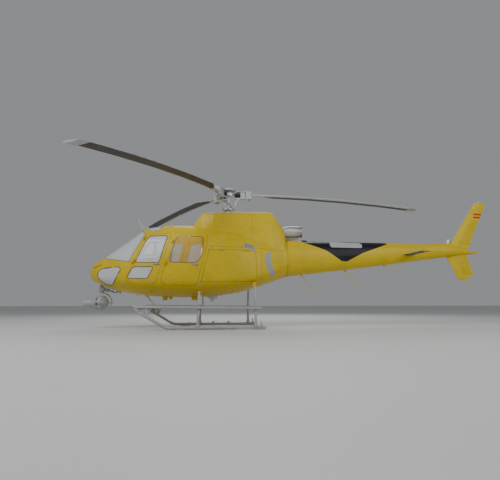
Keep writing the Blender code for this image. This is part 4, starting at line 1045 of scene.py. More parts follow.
screenFace = dialFinish("screenFace", (0.10, 0.25, 0.22))
redLamp = paintFinish("redLens", (0.5, 0.02, 0.015), rough=0.15, coat=0.8, scale=20.0, dustAndShade=0.0)
clearLamp = paintFinish("clearLens", (0.62, 0.63, 0.62), rough=0.15, coat=0.8, scale=20.0, dustAndShade=0.0)
greenLamp = paintFinish("greenLens", (0.02, 0.30, 0.08), rough=0.15, coat=0.8, scale=20.0, dustAndShade=0.0)
print("materials ready:", len(bpy.data.materials))


# the solids, merged, smoothed and painted
def welded(mesh):
    # a copy of a solid's mesh with its loose triangles joined up
    copy = mesh.copy()
    if "custom_normal" in copy.attributes:
        copy.attributes.remove(copy.attributes["custom_normal"])
    bm = bmesh.new()
    bm.from_mesh(copy)
    bmesh.ops.remove_doubles(bm, verts=bm.verts, dist=2e-5)
    bm.to_mesh(copy)
    bm.free()
    return copy


def followSkin(mesh, table, reach=0.055):
    # corners that lie along the curved skin take their normal from the section table
    corners = len(mesh.loops)
    normals = np.empty(corners * 3)
    mesh.corner_normals.foreach_get("vector", normals)
    normals = normals.reshape(-1, 3)
    places = np.empty(len(mesh.vertices) * 3)
    mesh.vertices.foreach_get("co", places)
    away, outward = skinField(places, table)
    which = np.empty(corners, int)
    mesh.loops.foreach_get("vertex_index", which)
    faceNormals = np.empty(len(mesh.polygons) * 3)
    mesh.polygons.foreach_get("normal", faceNormals)
    starts = np.empty(len(mesh.polygons), int)
    mesh.polygons.foreach_get("loop_start", starts)
    totals = np.empty(len(mesh.polygons), int)
    mesh.polygons.foreach_get("loop_total", totals)
    ofFace = np.repeat(faceNormals.reshape(-1, 3), totals, axis=0)
    order = np.concatenate([np.arange(s, s + t) for s, t in zip(starts, totals)])
    flat = np.empty_like(ofFace)
    flat[order] = ofFace
    lean = np.einsum("ij,ij->i", flat, outward[which])
    use = (np.abs(lean) > 0.86) & (np.abs(away[which]) < reach)
    normals[use] = outward[which][use] * np.sign(lean[use])[:, None]
    mesh.normals_split_custom_set([tuple(n) for n in normals])


bodyOf = {name: body for body, members in frame["record"]["behaviour"]["bodies"].items() for name in members}


def dress(node, finish, table=None, angle=35):
    mesh = rounded(welded(nodes[node].data), angle)
    mesh.name = node + "Skin"
    if table is not None:
        followSkin(mesh, table)
    return addPiece(node + "Skin", mesh, finish, bodyOf[node], (node,))


for node in ("cabin_shell", "belly_structure", "rear_body"):
    dress(node, hullPaint, hullSections)
for word in ("left", "right"):
    for node in ("door_front_", "door_rear_"):
        dress(node + word, doorPaint, hullSections)
    dress("locker_door_" + word, doorPaint, hullSections)
    for node in ("windshield_", "chin_window_", "roof_window_"):
        dress(node + word, paneGlass, hullSections)
    dress("door_front_%s_glass" % word, paneGlass, hullSections)
    dress("door_front_%s_lower_glass" % word, paneGlass, hullSections)
dress("door_rear_left_glass", clearGlass, hullSections)
dress("door_rear_right_glass", paneGlass, hullSections)
dress("tail_boom", boomPaint, boomSections, 40)
for finish, angle, names in (
        (doorPaint, 50, "rotor_cowling"), (finPaint, 30, "upper_fin lower_fin"),
        (stabiliserPaint, 30, "stabiliser"),
        (exhaustSteel, 30, "exhaust_duct"),
        (gearPaint, 45, "skid_left skid_right cross_tube_front cross_tube_rear step_left step_right"),
        (fittingPaint, 40, "landing_lamp"), (steel, 40, "cargo_hook"), (alloy, 35, "rotor_head swashplate"),
        (bladeSkin, 30, "main_blade_1 main_blade_2 main_blade_3"), (alloy, 40, "tail_gearbox"),
        (bladeSkin, 30, "tail_rotor"), (cameraPaint, 45, "camera_yoke"), (cameraPaint, 40, "camera_ball")):
    for node in names.split():
        dress(node, finish, angle=angle)
for finish, names in ((alloy, "engine_block rotor_gearbox"), (darkPaintAndShade, "instrument_console"),
                      (seatCloth, "seat_front_left seat_front_right rear_bench")):
    for node in names.split():
        nodes[node].data.materials.clear()
        nodes[node].data.materials.append(finish)
print("solids dressed")


# window seals and panel beads
windows = dict(
    chin=((-3.092, 1.297), (-2.99, 1.429), (-2.565, 1.466), (-2.485, 1.415), (-2.69, 1.021), (-2.888, 1.064),
          (-3.015, 1.162)),
    lower=((-2.347, 1.190), (-2.213, 1.462), (-1.735, 1.466), (-1.86, 1.182)),
    front=((-2.166, 1.562), (-1.90, 2.212), (-1.448, 2.238), (-1.612, 1.562)),
    rear=((-1.402, 1.575), (-1.234, 2.225), (-0.60, 2.235), (-0.615, 1.767), (-0.735, 1.575)),
    roof=((-1.95, 0.16), (-1.90, 0.52), (-1.66, 0.57), (-1.60, 0.16)),
    pillarShift={left: 0.0, right: 0.29}, sealRadius=0.0065)


def movedAft(outline, which, distance):
    return [(x + distance, z) if k in which else (x, z) for k, (x, z) in enumerate(outline)]


def sideLoop(outline, side, corner, gap=0.025):
    flat = spreadAlong(roundedOutline(outline, corner), gap, closed=True)
    return [onSide(p.x, p.y, side)[0] for p in flat]


def seal(name, path, body, radius=None, closed=True, finish=None):
    return placeStrips(name, [path], finish or sealRubber, body, radius or windows["sealRadius"], 8,
                       closed=closed)


for side, word in sides:
    shift = windows["pillarShift"][side]
    frontDoor, rearDoor = "door_front_%s_body" % word, "door_rear_%s_body" % word
    seal("chinSeal_" + word, sideLoop(windows["chin"], side, 0.06), "airframe")
    seal("lowerSeal_" + word, sideLoop(windows["lower"], side, 0.06), frontDoor)
    frontWindow = movedAft(windows["front"], (2, 3), shift)
    rearWindow = movedAft(windows["rear"], (0, 1), shift)
    seal("frontSeal_" + word, sideLoop(frontWindow, side, 0.06), frontDoor)
    seal("rearSeal_" + word, sideLoop(rearWindow, side, 0.09), rearDoor)
    roofLoop = spreadAlong(roundedOutline([(x, side * y) for x, y in windows["roof"]], 0.03), 0.03,
                           closed=True)
    seal("roofSeal_" + word, [onTop(p.x, p.y)[0] for p in roofLoop], "airframe", 0.005)
    # windscreen: along its base, up the pillar and round to the middle, then down the centre post
    base = [(x, 1.77 + (x + 3.4) * (1.58 - 1.77) / (3.4 - 2.321)) for x in np.linspace(-3.0, -2.321, 26)]
    pillar = [(-2.321 + t * 0.326, 1.58 + t * 0.695) for t in np.linspace(0.04, 1, 22)]
    crest = [(-1.995 - t * 0.13, 2.275 + t * 0.155) for t in np.linspace(0.05, 1, 16)]
    rim = []
    for x, z in base + pillar + crest:
        y = skinY(x, z)
        if y > 0.021:
            rim.append(at(x, side * y, z))
    rim = [p - wayOut(p) * 0.003 for p in rim]
    seal("screenSeal_" + word, rim, "airframe", 0.006, closed=False, finish=innerGrey)
    post = [onTop(x, side * 0.020)[0] for x in np.linspace(-3.015, -2.13, 24)]
    seal("postSeal_" + word, post, "airframe", 0.004, closed=False, finish=innerGrey)
print("seals done")

# vent panel set into the front door panes, drawn by thin bars in the seals' grey
ventLines = dict(
    bars=(((-1.862, 2.045), (-1.551, 2.06)), ((-2.07, 1.738), (-1.686, 1.745)),
          ((-1.862, 2.045), (-2.07, 1.738)),
          ((-1.741, 2.05), (-1.741, 1.742)), ((-1.693, 2.05), (-1.693, 1.742)),
          ((-1.88, 1.66), (-1.76, 1.60))),
    radius=0.0042)
for side, word in sides:
    shift = windows["pillarShift"][side] * 0.5
    paths = [[onSide(p.x + shift, p.y, side)[0] for p in spreadAlong(line, 0.03)]
             for line in ventLines["bars"]]
    placeStrips("ventFrame_" + word, paths, innerGrey, "door_front_%s_body" % word, ventLines["radius"], 6)

# fine beads along the panel joints of the body
panelLines = dict(
    rail=((-0.46, 1.985), (0.0, 1.988), (0.75, 1.985), (1.50, 1.95)),
    upright=((0.842, 1.10), (0.842, 1.90)),
    slant=((0.75, 1.90), (0.95, 1.75)),
    belly=((-2.40, 1.0), (-0.7, 1.0), (0.60, 1.05)),
    radius=0.0028)
for side, word in sides:
    paths = []
    for key in ("rail", "upright", "slant"):
        paths.append([onSide(p.x, p.y, side)[0] for p in spreadAlong(panelLines[key], 0.04)])
    placeStrips("panelBeads_" + word, paths, darkYellow, "airframe", panelLines["radius"], 6)

# seam straps: where the boom joins the body, and over the cowling
seamRing = [curveAt(hullSections, 1.557, a, 0.0) for a in np.linspace(0, 2 * math.pi, 72, endpoint=False)]
seal("boomSeam", seamRing, "airframe", 0.0035, finish=darkYellow)
for n, x in enumerate((-0.35, 0.62)):
    ring = []
    for side in (left, right):
        heights = np.linspace(2.45 if n == 0 else 2.32, 2.93, 14)
        half = [onSide(x, z, side, cowlTree)[0] for z in (heights if side == left else heights[::-1])]
        ring += half
        if side == left:
            ring += [onTop(x, y, cowlTree)[0] for y in np.linspace(-0.26, 0.26, 9)]
    seal("cowlSeam_%d" % (n + 1), ring, "airframe", 0.003, closed=False, finish=darkYellow)


# rivets, screws and small plates on the skin
def facingMark(place, normal, along=(1, 0, 0), size=(1, 1, 1), sink=0.0):
    normal = Vector(normal)
    flat = Vector(along) - normal * Vector(along).dot(normal)
    if flat.length < 0.05:
        flat = Vector((0, 0, 1)) - normal * normal.z
    return (Vector(place) - normal * sink, normal, flat.normalized(), size)


rivets = dict(radius=0.0042, height=0.0012, gap=0.062)


def rivetLine(points, side, gap=None, tree=None):
    found = []
    for p in spreadAlong(points, gap or rivets["gap"]):
        place, normal = onSide(p.x, p.y, side, tree)
        found.append(facingMark(place, normal))
    return found


def ringRivets(table, x, low, high, count):
    return [
        facingMark(p, wayOut(p, table))
        for p in (curveAt(table, x, a) for a in np.linspace(low, high, count, endpoint=False))
    ]


lockerEdge = ((-0.637, 1.11), (-0.466, 1.905), (0.68, 1.918), (0.72, 1.145))


def grownOutline(outline, distance):
    middle = sum((Vector(p) for p in outline), Vector((0, 0))) / len(outline)
    return [Vector(p) + (Vector(p) - middle).normalized() * distance for p in outline]


bodyRivets = []
for side, word in sides:
    for key, drop in (("rail", 0.022), ("upright", 0.0), ("belly", 0.0)):
        line = [(x + (0.02 if key == "upright" else 0.0), z + drop) for x, z in panelLines[key]]
        bodyRivets += rivetLine(line, side)
    bodyRivets += rivetLine(grownOutline(lockerEdge, 0.035) + [grownOutline(lockerEdge, 0.035)[0]], side)
    bodyRivets += rivetLine(((1.25, 1.40), (1.25, 2.20)), side, 0.05)
    bodyRivets += rivetLine(((1.52, 1.42), (1.52, 2.20)), side, 0.04)
for x in (-2.0, -1.5, -1.0, -0.66, -0.1, 0.5):
    ring = ringRivets(hullSections, x, math.radians(196), math.radians(344), 34)
    bodyRivets += [mark for mark in ring if x > -0.65 or mark[0].z < 1.012]
placeStuds("bodyRivets", bodyRivets, doorPaint, "airframe", rivets["radius"], rivets["height"], 8, smooth=50)
boomRivets = []
for x in (1.60, 2.55, 3.35, 4.15, 4.72, 5.28, 5.72):
    boomRivets += ringRivets(boomSections, x, 0, 2 * math.pi, 40)
for level in (0.5, -0.2):
    for x in np.arange(1.7, 6.1, 0.07):
        for a in (math.asin(level), math.pi - math.asin(level)):
            p = curveAt(boomSections, x, a)
            boomRivets.append(facingMark(p, wayOut(p, boomSections)))
placeStuds("boomRivets", boomRivets, boomPaint, "airframe", rivets["radius"] * 0.85, rivets["height"], 8,
           smooth=50)
cowlRivets = []
for side, word in sides:
    for x in (-0.30, -0.40, 0.57, 0.67):
        cowlRivets += rivetLine(((x, 2.50), (x, 2.88)), side, 0.05, cowlTree)
    cowlRivets += rivetLine(((-0.55, 2.86), (1.05, 2.93)), side, 0.07, cowlTree)
placeStuds("cowlRivets", cowlRivets, doorPaint, "airframe", rivets["radius"], rivets["height"], 8, smooth=50)

# grey latches and access plates, placed as station, height, length, width
skinPlates = dict(
    square=((-2.439, 1.095, .034, .034), (-2.121, 1.092, .034, .034), (-1.774, 1.092, .036, .045),
            (-0.47, 2.242, .030, .026), (-0.175, 2.071, .030, .024),
            (0.80, 1.320, .060, .050), (0.80, 1.165, .034, .034), (1.482, 1.372, .030, .034),
            (0.164, 0.901, .060, .020)),
    tall=((-0.576, 1.075, .030, .075), (-0.684, 1.075, .020, .060), (-0.306, 1.082, .030, .050),
          (-0.022, 1.085, .030, .050), (0.25, 1.088, .030, .045), (0.53, 1.095, .030, .040),
          (-0.424, 2.024, .034, .085), (0.267, 2.017, .024, .070)),
    dots=(-1.70, -1.47, -1.24, -1.01), dotHeight=1.093, thick=0.007,
    wedges=((-0.162, 1.945), (0.458, 1.945)), slanted=((0.753, 2.069), (1.28, 2.085)))
for side, word in sides:
    plates = {}
    for x, z, length, width in skinPlates["square"] + skinPlates["tall"]:
        place, normal = onSide(x, z, side)
        onDoor = -2.37 < x < -1.70 and z < 1.2 and z > 1.05
        plates.setdefault("door_front_%s_body" % word if onDoor else "airframe", []).append(
            facingMark(place, normal, size=(length, width, skinPlates["thick"])))
    for body, entries in plates.items():
        placePlates("skinPlates_%s_%s" % (word, "door" if "door" in body else "body"), entries, plateGrey,
                    body, 0.86, "grey_paint")
        corners = []
        for place, normal, along, (length, width, thick) in entries:
            across = normal.cross(along)
            for a in (-0.3, 0.3):
                for b in (-0.3, 0.3):
                    if min(length, width) > 0.025:
                        spot = place + along * a * length + across * b * width + normal * thick * 0.5
                        corners.append((spot, normal, along, (1, 1, 1)))
        if corners:
            placeStuds("plateScrews_%s_%s" % (word, "door" if "door" in body else "body"), corners, boltSteel,
                       body, 0.0028, 0.0012, 8, smooth=50)
    frontDots = 1 if side == left else 2
    for place, group in (("front", skinPlates["dots"][:frontDots]), ("rear", skinPlates["dots"][frontDots:])):
        dotMarks = [facingMark(*onSide(x, skinPlates["dotHeight"], side)) for x in group]
        placeStuds("sillDots_%s_%s" % (word, place), dotMarks, darkPaintAndShade, "door_%s_%s_body" % (place, word),
                   0.007, 0.002, 12, smooth=50)
    # hinge plates of the baggage door, pointing down, and two slanted step plates behind the vent
    hinges, slanted = [], []
    for x, z in skinPlates["wedges"]:
        place, normal = onSide(x, z, side)
        first = (Vector((1, 0, 0)) - normal * normal.x).normalized()
        second = first.cross(normal) if first.cross(normal).z > 0 else normal.cross(first)
        spots = [place + first * a + second * b
                 for a, b in ((-.028, .028), (.028, .028), (.028, .012), (.010, -.036), (-.010, -.036),
                              (-.028, .012))]
        mesh = meshFrom("hinge", [p + normal * lift for lift in (-0.004, 0.006) for p in spots],
                        [(5, 4, 3, 2, 1, 0), (6, 7, 8, 9, 10, 11)]
                        + [(k, (k + 1) % 6, 6 + (k + 1) % 6, 6 + k) for k in range(6)])
        hinges.append(mesh)
    for x, z in skinPlates["slanted"]:
        place, normal = onSide(x, z, side)
        slanted.append(blockMesh("slanted", place, (0.085, 0.024, 0.012),
                                 Vector((1, 0, 0.55)) - normal * Vector((1, 0, 0.55)).dot(normal), normal,
                                 0.002))
    addJoined("hingePlates_" + word, hinges, 30, plateGrey, "airframe")
    addJoined("slantedPlates_" + word, slanted, 30, plateGrey, "airframe")
print("rivets and plates done")


# handles, the side vent, slots in the nose and the filler cap
handles = dict(height=1.527, spots={left: (-1.667, -0.772), right: (-1.377, -0.772)})
for side, word in sides:
    for x, body in zip(handles["spots"][side], ("door_front_%s_body" % word, "door_rear_%s_body" % word)):
        place, normal = onSide(x, handles["height"], side)
        first = (Vector((1, 0, 0)) - normal * normal.x).normalized()
        # painted shade: a thin dark plate on the skin stands for the shaded recess of the handle
        shadedWell = blockMesh("shadedWell", place + normal * 0.001, (0.140, 0.034, 0.003), first, normal, 0.0015)
        bar = blockMesh("bar", place + normal * 0.016 - first * 0.008, (0.105, 0.024, 0.009), first, normal,
                        0.003)
        foot = blockMesh("foot", place + normal * 0.008 - first * 0.052, (0.022, 0.026, 0.020), first, normal,
                         0.003)
        lock = lathe("lock", place + first * 0.058, normal, ((0, 0.011), (0.005, 0.011), (0.007, 0.008)), 20)
        name = "handle_%s_%s" % (word, "front" if "front" in body else "rear")
        addPiece(name + "Well", shadedWell, darkPaintAndShade, body)
        addJoined(name, (bar, foot), 50, plateGrey, body)
        addPiece(name + "Lock", lock, boltSteel, body)

vent = dict(low=(0.377, 1.972), high=(0.632, 2.074), slats=7)
for side, word in sides:
    middle, normal = onSide((vent["low"][0] + vent["high"][0]) / 2, (vent["low"][1] + vent["high"][1]) / 2,
                            side)
    first = (Vector((1, 0, 0)) - normal * normal.x).normalized()
    second = normal.cross(first) * -1 if normal.cross(first).z < 0 else normal.cross(first)
    wide, tall = vent["high"][0] - vent["low"][0], vent["high"][1] - vent["low"][1]
    back = blockMesh("ventBack", middle + normal * 0.0015, (wide * 0.93, tall * 0.86, 0.003), first, normal)
    addPiece("ventBack_" + word, back, whitePaint, "airframe")
    # painted shade: a dark slanted bar across the vent's left part
    shade = blockMesh("ventShade", middle - first * wide * 0.27 + normal * 0.006, (0.028, tall * 0.95, 0.008),
                      first + second * 0.35, normal)
    addPiece("ventShade_" + word, shade, innerGrey, "airframe")
    rim = []
    for a, b, c, d in ((0, 0.5, 1, 0.10), (0, -0.5, 1, 0.10), (-0.5, 0, 0.035, 1), (0.5, 0, 0.035, 1)):
        spot = middle + first * (a * wide) + second * (b * tall) + normal * 0.004
        rim.append(blockMesh("rim", spot, (c * wide, d * tall, 0.010), first, normal, 0.002))
    addJoined("ventRim_" + word, rim, 50, plateGrey, "airframe")
    slats = []
    for n in range(vent["slats"]):
        step = n / (vent["slats"] - 1) - 0.5
        spot = middle + second * tall * step * 0.78 + first * wide * 0.06 + normal * 0.004
        slats.append((spot, (normal + second * 0.9).normalized(), first, (wide * 0.80, 0.012, 0.002)))
    placePlates("ventSlats_" + word, slats, plateGrey, "airframe", 1.0, "grey_paint")

noseSlots = dict(steps=12, low=(-3.215, 1.455), high=(-2.985, 1.525), radius=0.008, sunk=0.004)
for side, word in sides:
    path, lip = [], []
    for t in np.linspace(0, 1, noseSlots["steps"]):
        x = noseSlots["low"][0] * (1 - t) + noseSlots["high"][0] * t
        z = noseSlots["low"][1] * (1 - t) + noseSlots["high"][1] * t
        place, normal = onSide(x, z, side)
        path.append(place - normal * noseSlots["sunk"])
        lip.append(place + Vector((0, 0, 0.013)) - normal * 0.004)
    # painted shade: a dark tube sunk into the skin stands for the shaded opening of the slot
    placeStrips("noseSlot_" + word, [path], darkPaintAndShade, "airframe", noseSlots["radius"], 10, "dark_panel")
    placeStrips("noseLip_" + word, [lip], doorPaint, "airframe", 0.0075, 10, "yellow_paint")

place, normal = onSide(0.638, 1.94, left)
cap = lathe("filler", Vector((0, 0, 0)), (0, -1, 0),
            ((-0.004, 0.050), (0.006, 0.050), (0.009, 0.044), (0.009, 0.020), (0.014, 0.018), (0.015, 0.010)),
            32)
cap.transform(Matrix.Diagonal((1.0, 1.0, 0.68, 1.0)))
cap.transform(Matrix.Translation(place) @ normal.to_track_quat("-Y", "Z").to_matrix().to_4x4())
addPiece("fillerCap", cap, plateGrey, "airframe")

# the peg at the foot of the windscreen and the whip aerial on the roof
pegFoot = onTop(-3.045, 0.0)[0]
peg = lathe("nosePeg", pegFoot - Vector((0, 0, 0.006)), (0.15, 0, 1),
            ((0, 0.022), (0.012, 0.021), (0.016, 0.011), (0.060, 0.009), (0.066, 0.013), (0.085, 0.012),
             (0.092, 0.006)), 20)
addPiece("nosePeg", peg, fittingPaint, "airframe")
whip = dict(foot=(-1.413, -0.418), tip=(-1.211, -0.20, 2.878), root=0.008, taper=(1.0, 0.35))
whipFoot, whipWay = onTop(*whip["foot"])
whipTip = at(*whip["tip"])
base = lathe("whipBase", whipFoot - whipWay * 0.006, whipWay + Vector((0.25, 0.25, 0.3)),
             ((0, 0.034), (0.012, 0.032), (0.018, 0.020), (0.045, 0.012), (0.060, 0.009)), 20)
addPiece("whipBase", base, fittingPaint, "airframe")
along = [whipFoot.lerp(whipTip, t) for t in np.linspace(0.02, 1, 8)]
placeStrips("whipAerial", [along], fittingPaint, "airframe", whip["root"], 10, "yellow_paint",
            taper=whip["taper"])

# lamps, drains and aerials under the belly
belly = dict(
    domes=((-1.898, -0.494, 0.026), (-1.773, -0.660, 0.038), (-1.10, -0.40, 0.020), (-0.80, -0.60, 0.040),
           (-0.75, 0.58, 0.030), (0.12, -0.35, 0.020)),
    blade=(-1.976, -1.763, 0.544), unit=(-0.774, -0.30, 0.725),
    drains=((-2.20, 0.0), (-0.10, 0.25), (0.30, -0.2)))
domes = []
for x, y, radius in belly["domes"]:
    place, normal = onTop(x, y, up=-1)
    domes.append(lathe("dome", place + Vector((0, 0, 0.006)), -Vector((0, 0, 1)),
                       ((0, radius), (0.016, radius), (0.026, radius * 0.8), (0.032, radius * 0.4)), 20))
addJoined("bellyDomes", domes, 40, fittingPaint, "airframe")
drains = []
for x, y in belly["drains"]:
    place, normal = onTop(x, y, up=-1)
    drains.append(lathe("drain", place + Vector((0, 0, 0.004)), (0.5, 0, -1), ((0, 0.009), (0.045, 0.008)),
                        12))
addJoined("bellyDrains", drains, 40, fittingPaint, "airframe")
rootX, tipX, tipZ = belly["blade"]
fin = plateFrom("bladeAerial", ((rootX - 0.014, 0.80), (rootX + 0.022, 0.80), (tipX + 0.010, tipZ + 0.003),
                                (tipX - 0.002, tipZ)),
                -0.005, 0.005, 0.002)
footPlate = blockMesh("foot", at(rootX + 0.012, 0, 0.795), (0.09, 0.05, 0.030), bevel=0.006)
addJoined("bellyAerial", (fin, footPlate), 40, fittingPaint, "airframe")
ux, uy, uz = belly["unit"]
unit = [
    blockMesh("unit", at(ux, uy, uz), (0.145, 0.10, 0.085), bevel=0.012),
    blockMesh("unitRoot", at(ux, uy, uz + 0.055), (0.10, 0.07, 0.05), bevel=0.006),
    lathe("unitLens", at(ux - 0.072, uy, uz), (-1, 0, 0), ((0, 0.034), (0.010, 0.034), (0.013, 0.030)), 24),
]
addJoined("bellyUnit", unit, 40, fittingPaint, "airframe")
towedEye = lathe("bellyPeg", at(-2.619, 0.0, 0.915), (0.1, 0, -1),
                 ((0, 0.040), (0.022, 0.038), (0.055, 0.018), (0.075, 0.014), (0.080, 0.008)), 20)
addPiece("bellyPeg", towedEye, fittingPaint, "airframe")
lampWay = Vector((0.03, 0, -0.21)).normalized() * -1
lampFace = at(-1.50, -0.20, 0.69)
addPiece("lampRim", lathe("lampRim", lampFace + lampWay * 0.004, -lampWay,
                          ((0, 0.0556), (0.006, 0.0556), (0.0085, 0.050), (0.006, 0.047)), 40),
         plateGrey, "airframe")
addPiece("lampLens", lathe("lampLens", lampFace - lampWay * 0.001, -lampWay,
                           ((0, 0.046), (0.003, 0.044), (0.0065, 0.03), (0.008, 0.01)), 40),
         lampGlass, "airframe")
addPiece("smallLamp", lathe("lamp", at(-1.375, -0.20, 0.80), (0.10, 0, -1),
                            ((0, 0.052), (0.045, 0.050), (0.085, 0.042), (0.09, 0.036)), 32),
         fittingPaint, "airframe")
addPiece("smallLampLens", lathe("smallLens", at(-1.3665, -0.20, 0.7105), (0.10, 0, -1),
                                ((0, 0.034), (0.003, 0.032), (0.006, 0.016)), 32),
         lampGlass, "airframe")

# hinge screws, latches on the baggage doors and cowling fasteners
hingeScrews = []
for side, word in sides:
    low, high = (-2.20, 1.608), (-1.992, 2.172)
    for t in (0.0, 0.5, 1.0):
        x = low[0] + (high[0] - low[0]) * t - 0.035
        z = low[1] + (high[1] - low[1]) * t
        for lift in (-0.022, 0.022) if t != 0.5 else (0.0,):
            hingeScrews.append(facingMark(*onSide(x, z + lift, side)))
placeStuds("hingeScrews", hingeScrews, boltSteel, "airframe", 0.008, 0.003, 12, "bare_steel", smooth=50)
for side, word in sides:
    latches = [facingMark(*onSide(x, z, side), size=(0.030, 0.048, 0.006))
               for x, z in ((-0.28, 1.155), (0.38, 1.175))]
    placePlates("lockerLatches_" + word, latches, plateGrey, "locker_door_%s_body" % word, 0.85, "grey_paint")
    edge = rivetLine(grownOutline(lockerEdge, -0.035) + [grownOutline(lockerEdge, -0.035)[0]], side, 0.075)
    placeStuds("lockerRivets_" + word, edge, doorPaint, "locker_door_%s_body" % word, rivets["radius"],
               rivets["height"], 8, "yellow_paint", smooth=50)
    fasteners = []
    for x, z in ((-0.45, 2.62), (-0.45, 2.78), (0.10, 2.50), (0.10, 2.90), (0.52, 2.44), (0.72, 2.60),
                 (0.72, 2.80), (1.05, 2.40)):
        fasteners.append(facingMark(*onSide(x, z, side, cowlTree)))
    placeStuds("cowlFasteners_" + word, fasteners, plateGrey, "airframe", 0.012, 0.003, 16, "grey_paint",
               smooth=50)
print("outside fittings done")


# tail: bearing hump, hooks, aerial roots, fin ribs and edges, lamps, stabiliser skin
tailTop = curveAt(boomSections, 2.06, math.pi / 2).z
hump = dict(low=1.985, high=2.15, half=0.075, rise=0.055)
rings = []
for x, share in ((hump["low"], 0.72), (hump["low"] + 0.02, 1.0), (hump["high"] - 0.03, 0.94),
                 (hump["high"], 0.6)):
    ring = []
    for a in np.linspace(-0.15, math.pi + 0.15, 15):
        ring.append(at(x, hump["half"] * share * math.cos(a),
                       tailTop - 0.012 + hump["rise"] * share * math.sin(a)))
    rings.append(ring)
addPiece("bearingHump", lofted("bearingHump", rings, 35), darkPaintAndShade, "airframe")
hooks = []
for x in (2.02, 2.30):
    y = -0.05
    hooks.append([at(x, y, tailTop + 0.025), at(x, y, tailTop + 0.055), at(x + 0.02, y, tailTop + 0.066),
                  at(x + 0.045, y, tailTop + 0.058)])
placeStrips("tailHooks", hooks, fittingPaint, "airframe", 0.007, 10, "yellow_paint")
shaftCover = []
for x in (2.16, 2.20, 3.2, 4.2, 5.2, 5.72, 5.80):
    top = float(sectionValues(boomSections, x)[1])
    half = 0.052 if x not in (2.16, 5.80) else 0.040
    rise = 0.020 if x not in (2.16, 5.80) else 0.006
    shaftCover.append([at(x, half * math.cos(a), top - 0.008 + rise * math.sin(a))
                       for a in np.linspace(-0.1, math.pi + 0.1, 13)])
addPiece("shaftCover", lofted("shaftCover", shaftCover, 35), boomPaint, "airframe")
coverScrews = []
for x in np.arange(2.3, 5.7, 0.17):
    top = float(sectionValues(boomSections, x)[1])
    for y in (-0.045, 0.045):
        coverScrews.append(plainMark(at(x, y, top + 0.0005), Vector((0, y * 6, 1)).normalized()))
placeStuds("coverScrews", coverScrews, boltSteel, "airframe", 0.005, 0.003, 8, "bare_steel", smooth=50)
roots = []
for x, z in ((1.985, 1.43), (3.201, 1.58), (4.335, 1.70)):
    skin = float(sectionValues(boomSections, x)[2])
    roots.append(lathe("root", at(x, 0, skin + 0.012), (0.28, 0, -1),
                       ((0, 0.034), (0.016, 0.032), (0.024, 0.020), (0.070, 0.0125)), 20))
addJoined("aerialRoots", roots, 40, fittingPaint, "airframe")

upperFinTree, lowerFinTree = treeOf("upper_fin"), treeOf("lower_fin")
upperSpan, lowerSpan = (6.3, 7.7), (6.1, 7.1)  # stations between which each fin is searched


def finEdges(tree, z, low, high):
    spots = [x for x in np.arange(low, high, 0.004)
             if tree.ray_cast(at(x, -1.0, z), Vector((0, 1, 0)))[0] is not None]
    return (spots[0], spots[-1]) if spots else None


def finRibs(name, tree, heights, low, high, share, side):
    paths = []
    for z in heights:
        edge = finEdges(tree, z, low, high)
        if not edge:
            continue
        start = edge[1] - (edge[1] - edge[0]) * share
        path = []
        for x in np.linspace(start, edge[1] - 0.012, 9):
            place = tree.ray_cast(at(x, side, z), Vector((0, -side, 0)))[0]
            if place is not None:
                path.append(place - Vector((0, side * 0.0012, 0)))
        if len(path) > 2:
            paths.append(path)
    placeStrips(name, paths, ribShadePaint, "airframe", 0.0042, 8, "yellow_paint")


for side, word in sides:
    finRibs("upperRibs_" + word, upperFinTree, np.linspace(2.30, 2.98, 13), *upperSpan, 0.60, side)
    finRibs("lowerRibs_" + word, lowerFinTree, np.linspace(1.44, 1.92, 9), *lowerSpan, 0.60, side)
edges = []
for tree, heights, low, high in ((upperFinTree, np.linspace(2.36, 3.52, 24), *upperSpan),
                                 (lowerFinTree, np.linspace(1.36, 1.88, 12), *lowerSpan)):
    found = [(finEdges(tree, z, low, high), z) for z in heights]
    edges.append([at(edge[0] + 0.001, 0, z) for edge, z in found if edge])
placeStrips("finLeadingEdges", edges, plateGrey, "airframe", 0.0065, 10, "grey_paint")
finRivets = []
for side, word in sides:
    for share in (0.12, 0.36):
        for z in np.arange(2.40, 3.50, 0.055):
            edge = finEdges(upperFinTree, z, *upperSpan)
            if not edge:
                continue
            x = edge[0] + (edge[1] - edge[0]) * share
            place, normal, _, _ = upperFinTree.ray_cast(at(x, side, z), Vector((0, -side, 0)))
            if place is not None:
                finRivets.append(facingMark(place, normal))
placeStuds("finRivets", finRivets, finPaint, "airframe", 0.0036, 0.001, 8, "yellow_paint", smooth=50)
finLamp = lathe("finLamp", at(7.36, 0, 3.534), (0, 0, 1), ((0, 0.026), (0.016, 0.026), (0.020, 0.020)), 24)
finGlass = lathe("finGlass", at(7.36, 0, 3.554), (0, 0, 1),
                 ((0, 0.019), (0.030, 0.019), (0.042, 0.014), (0.047, 0.006)), 24)
addPiece("finLampFoot", finLamp, plateGrey, "airframe")
addPiece("finLampGlass", finGlass, clearLamp, "airframe")
tailLampFoot = lathe("tailLampFoot", at(7.235, 0, 2.078), (1, 0, 0), ((0, 0.022), (0.02, 0.021)), 24)
tailLampGlass = lathe("tailLampGlass", at(7.255, 0, 2.078), (1, 0, 0),
                      ((0, 0.018), (0.012, 0.017), (0.022, 0.008)), 24)
addPiece("tailLampFoot", tailLampFoot, plateGrey, "airframe")
addPiece("tailLampGlass", tailLampGlass, clearLamp, "airframe")
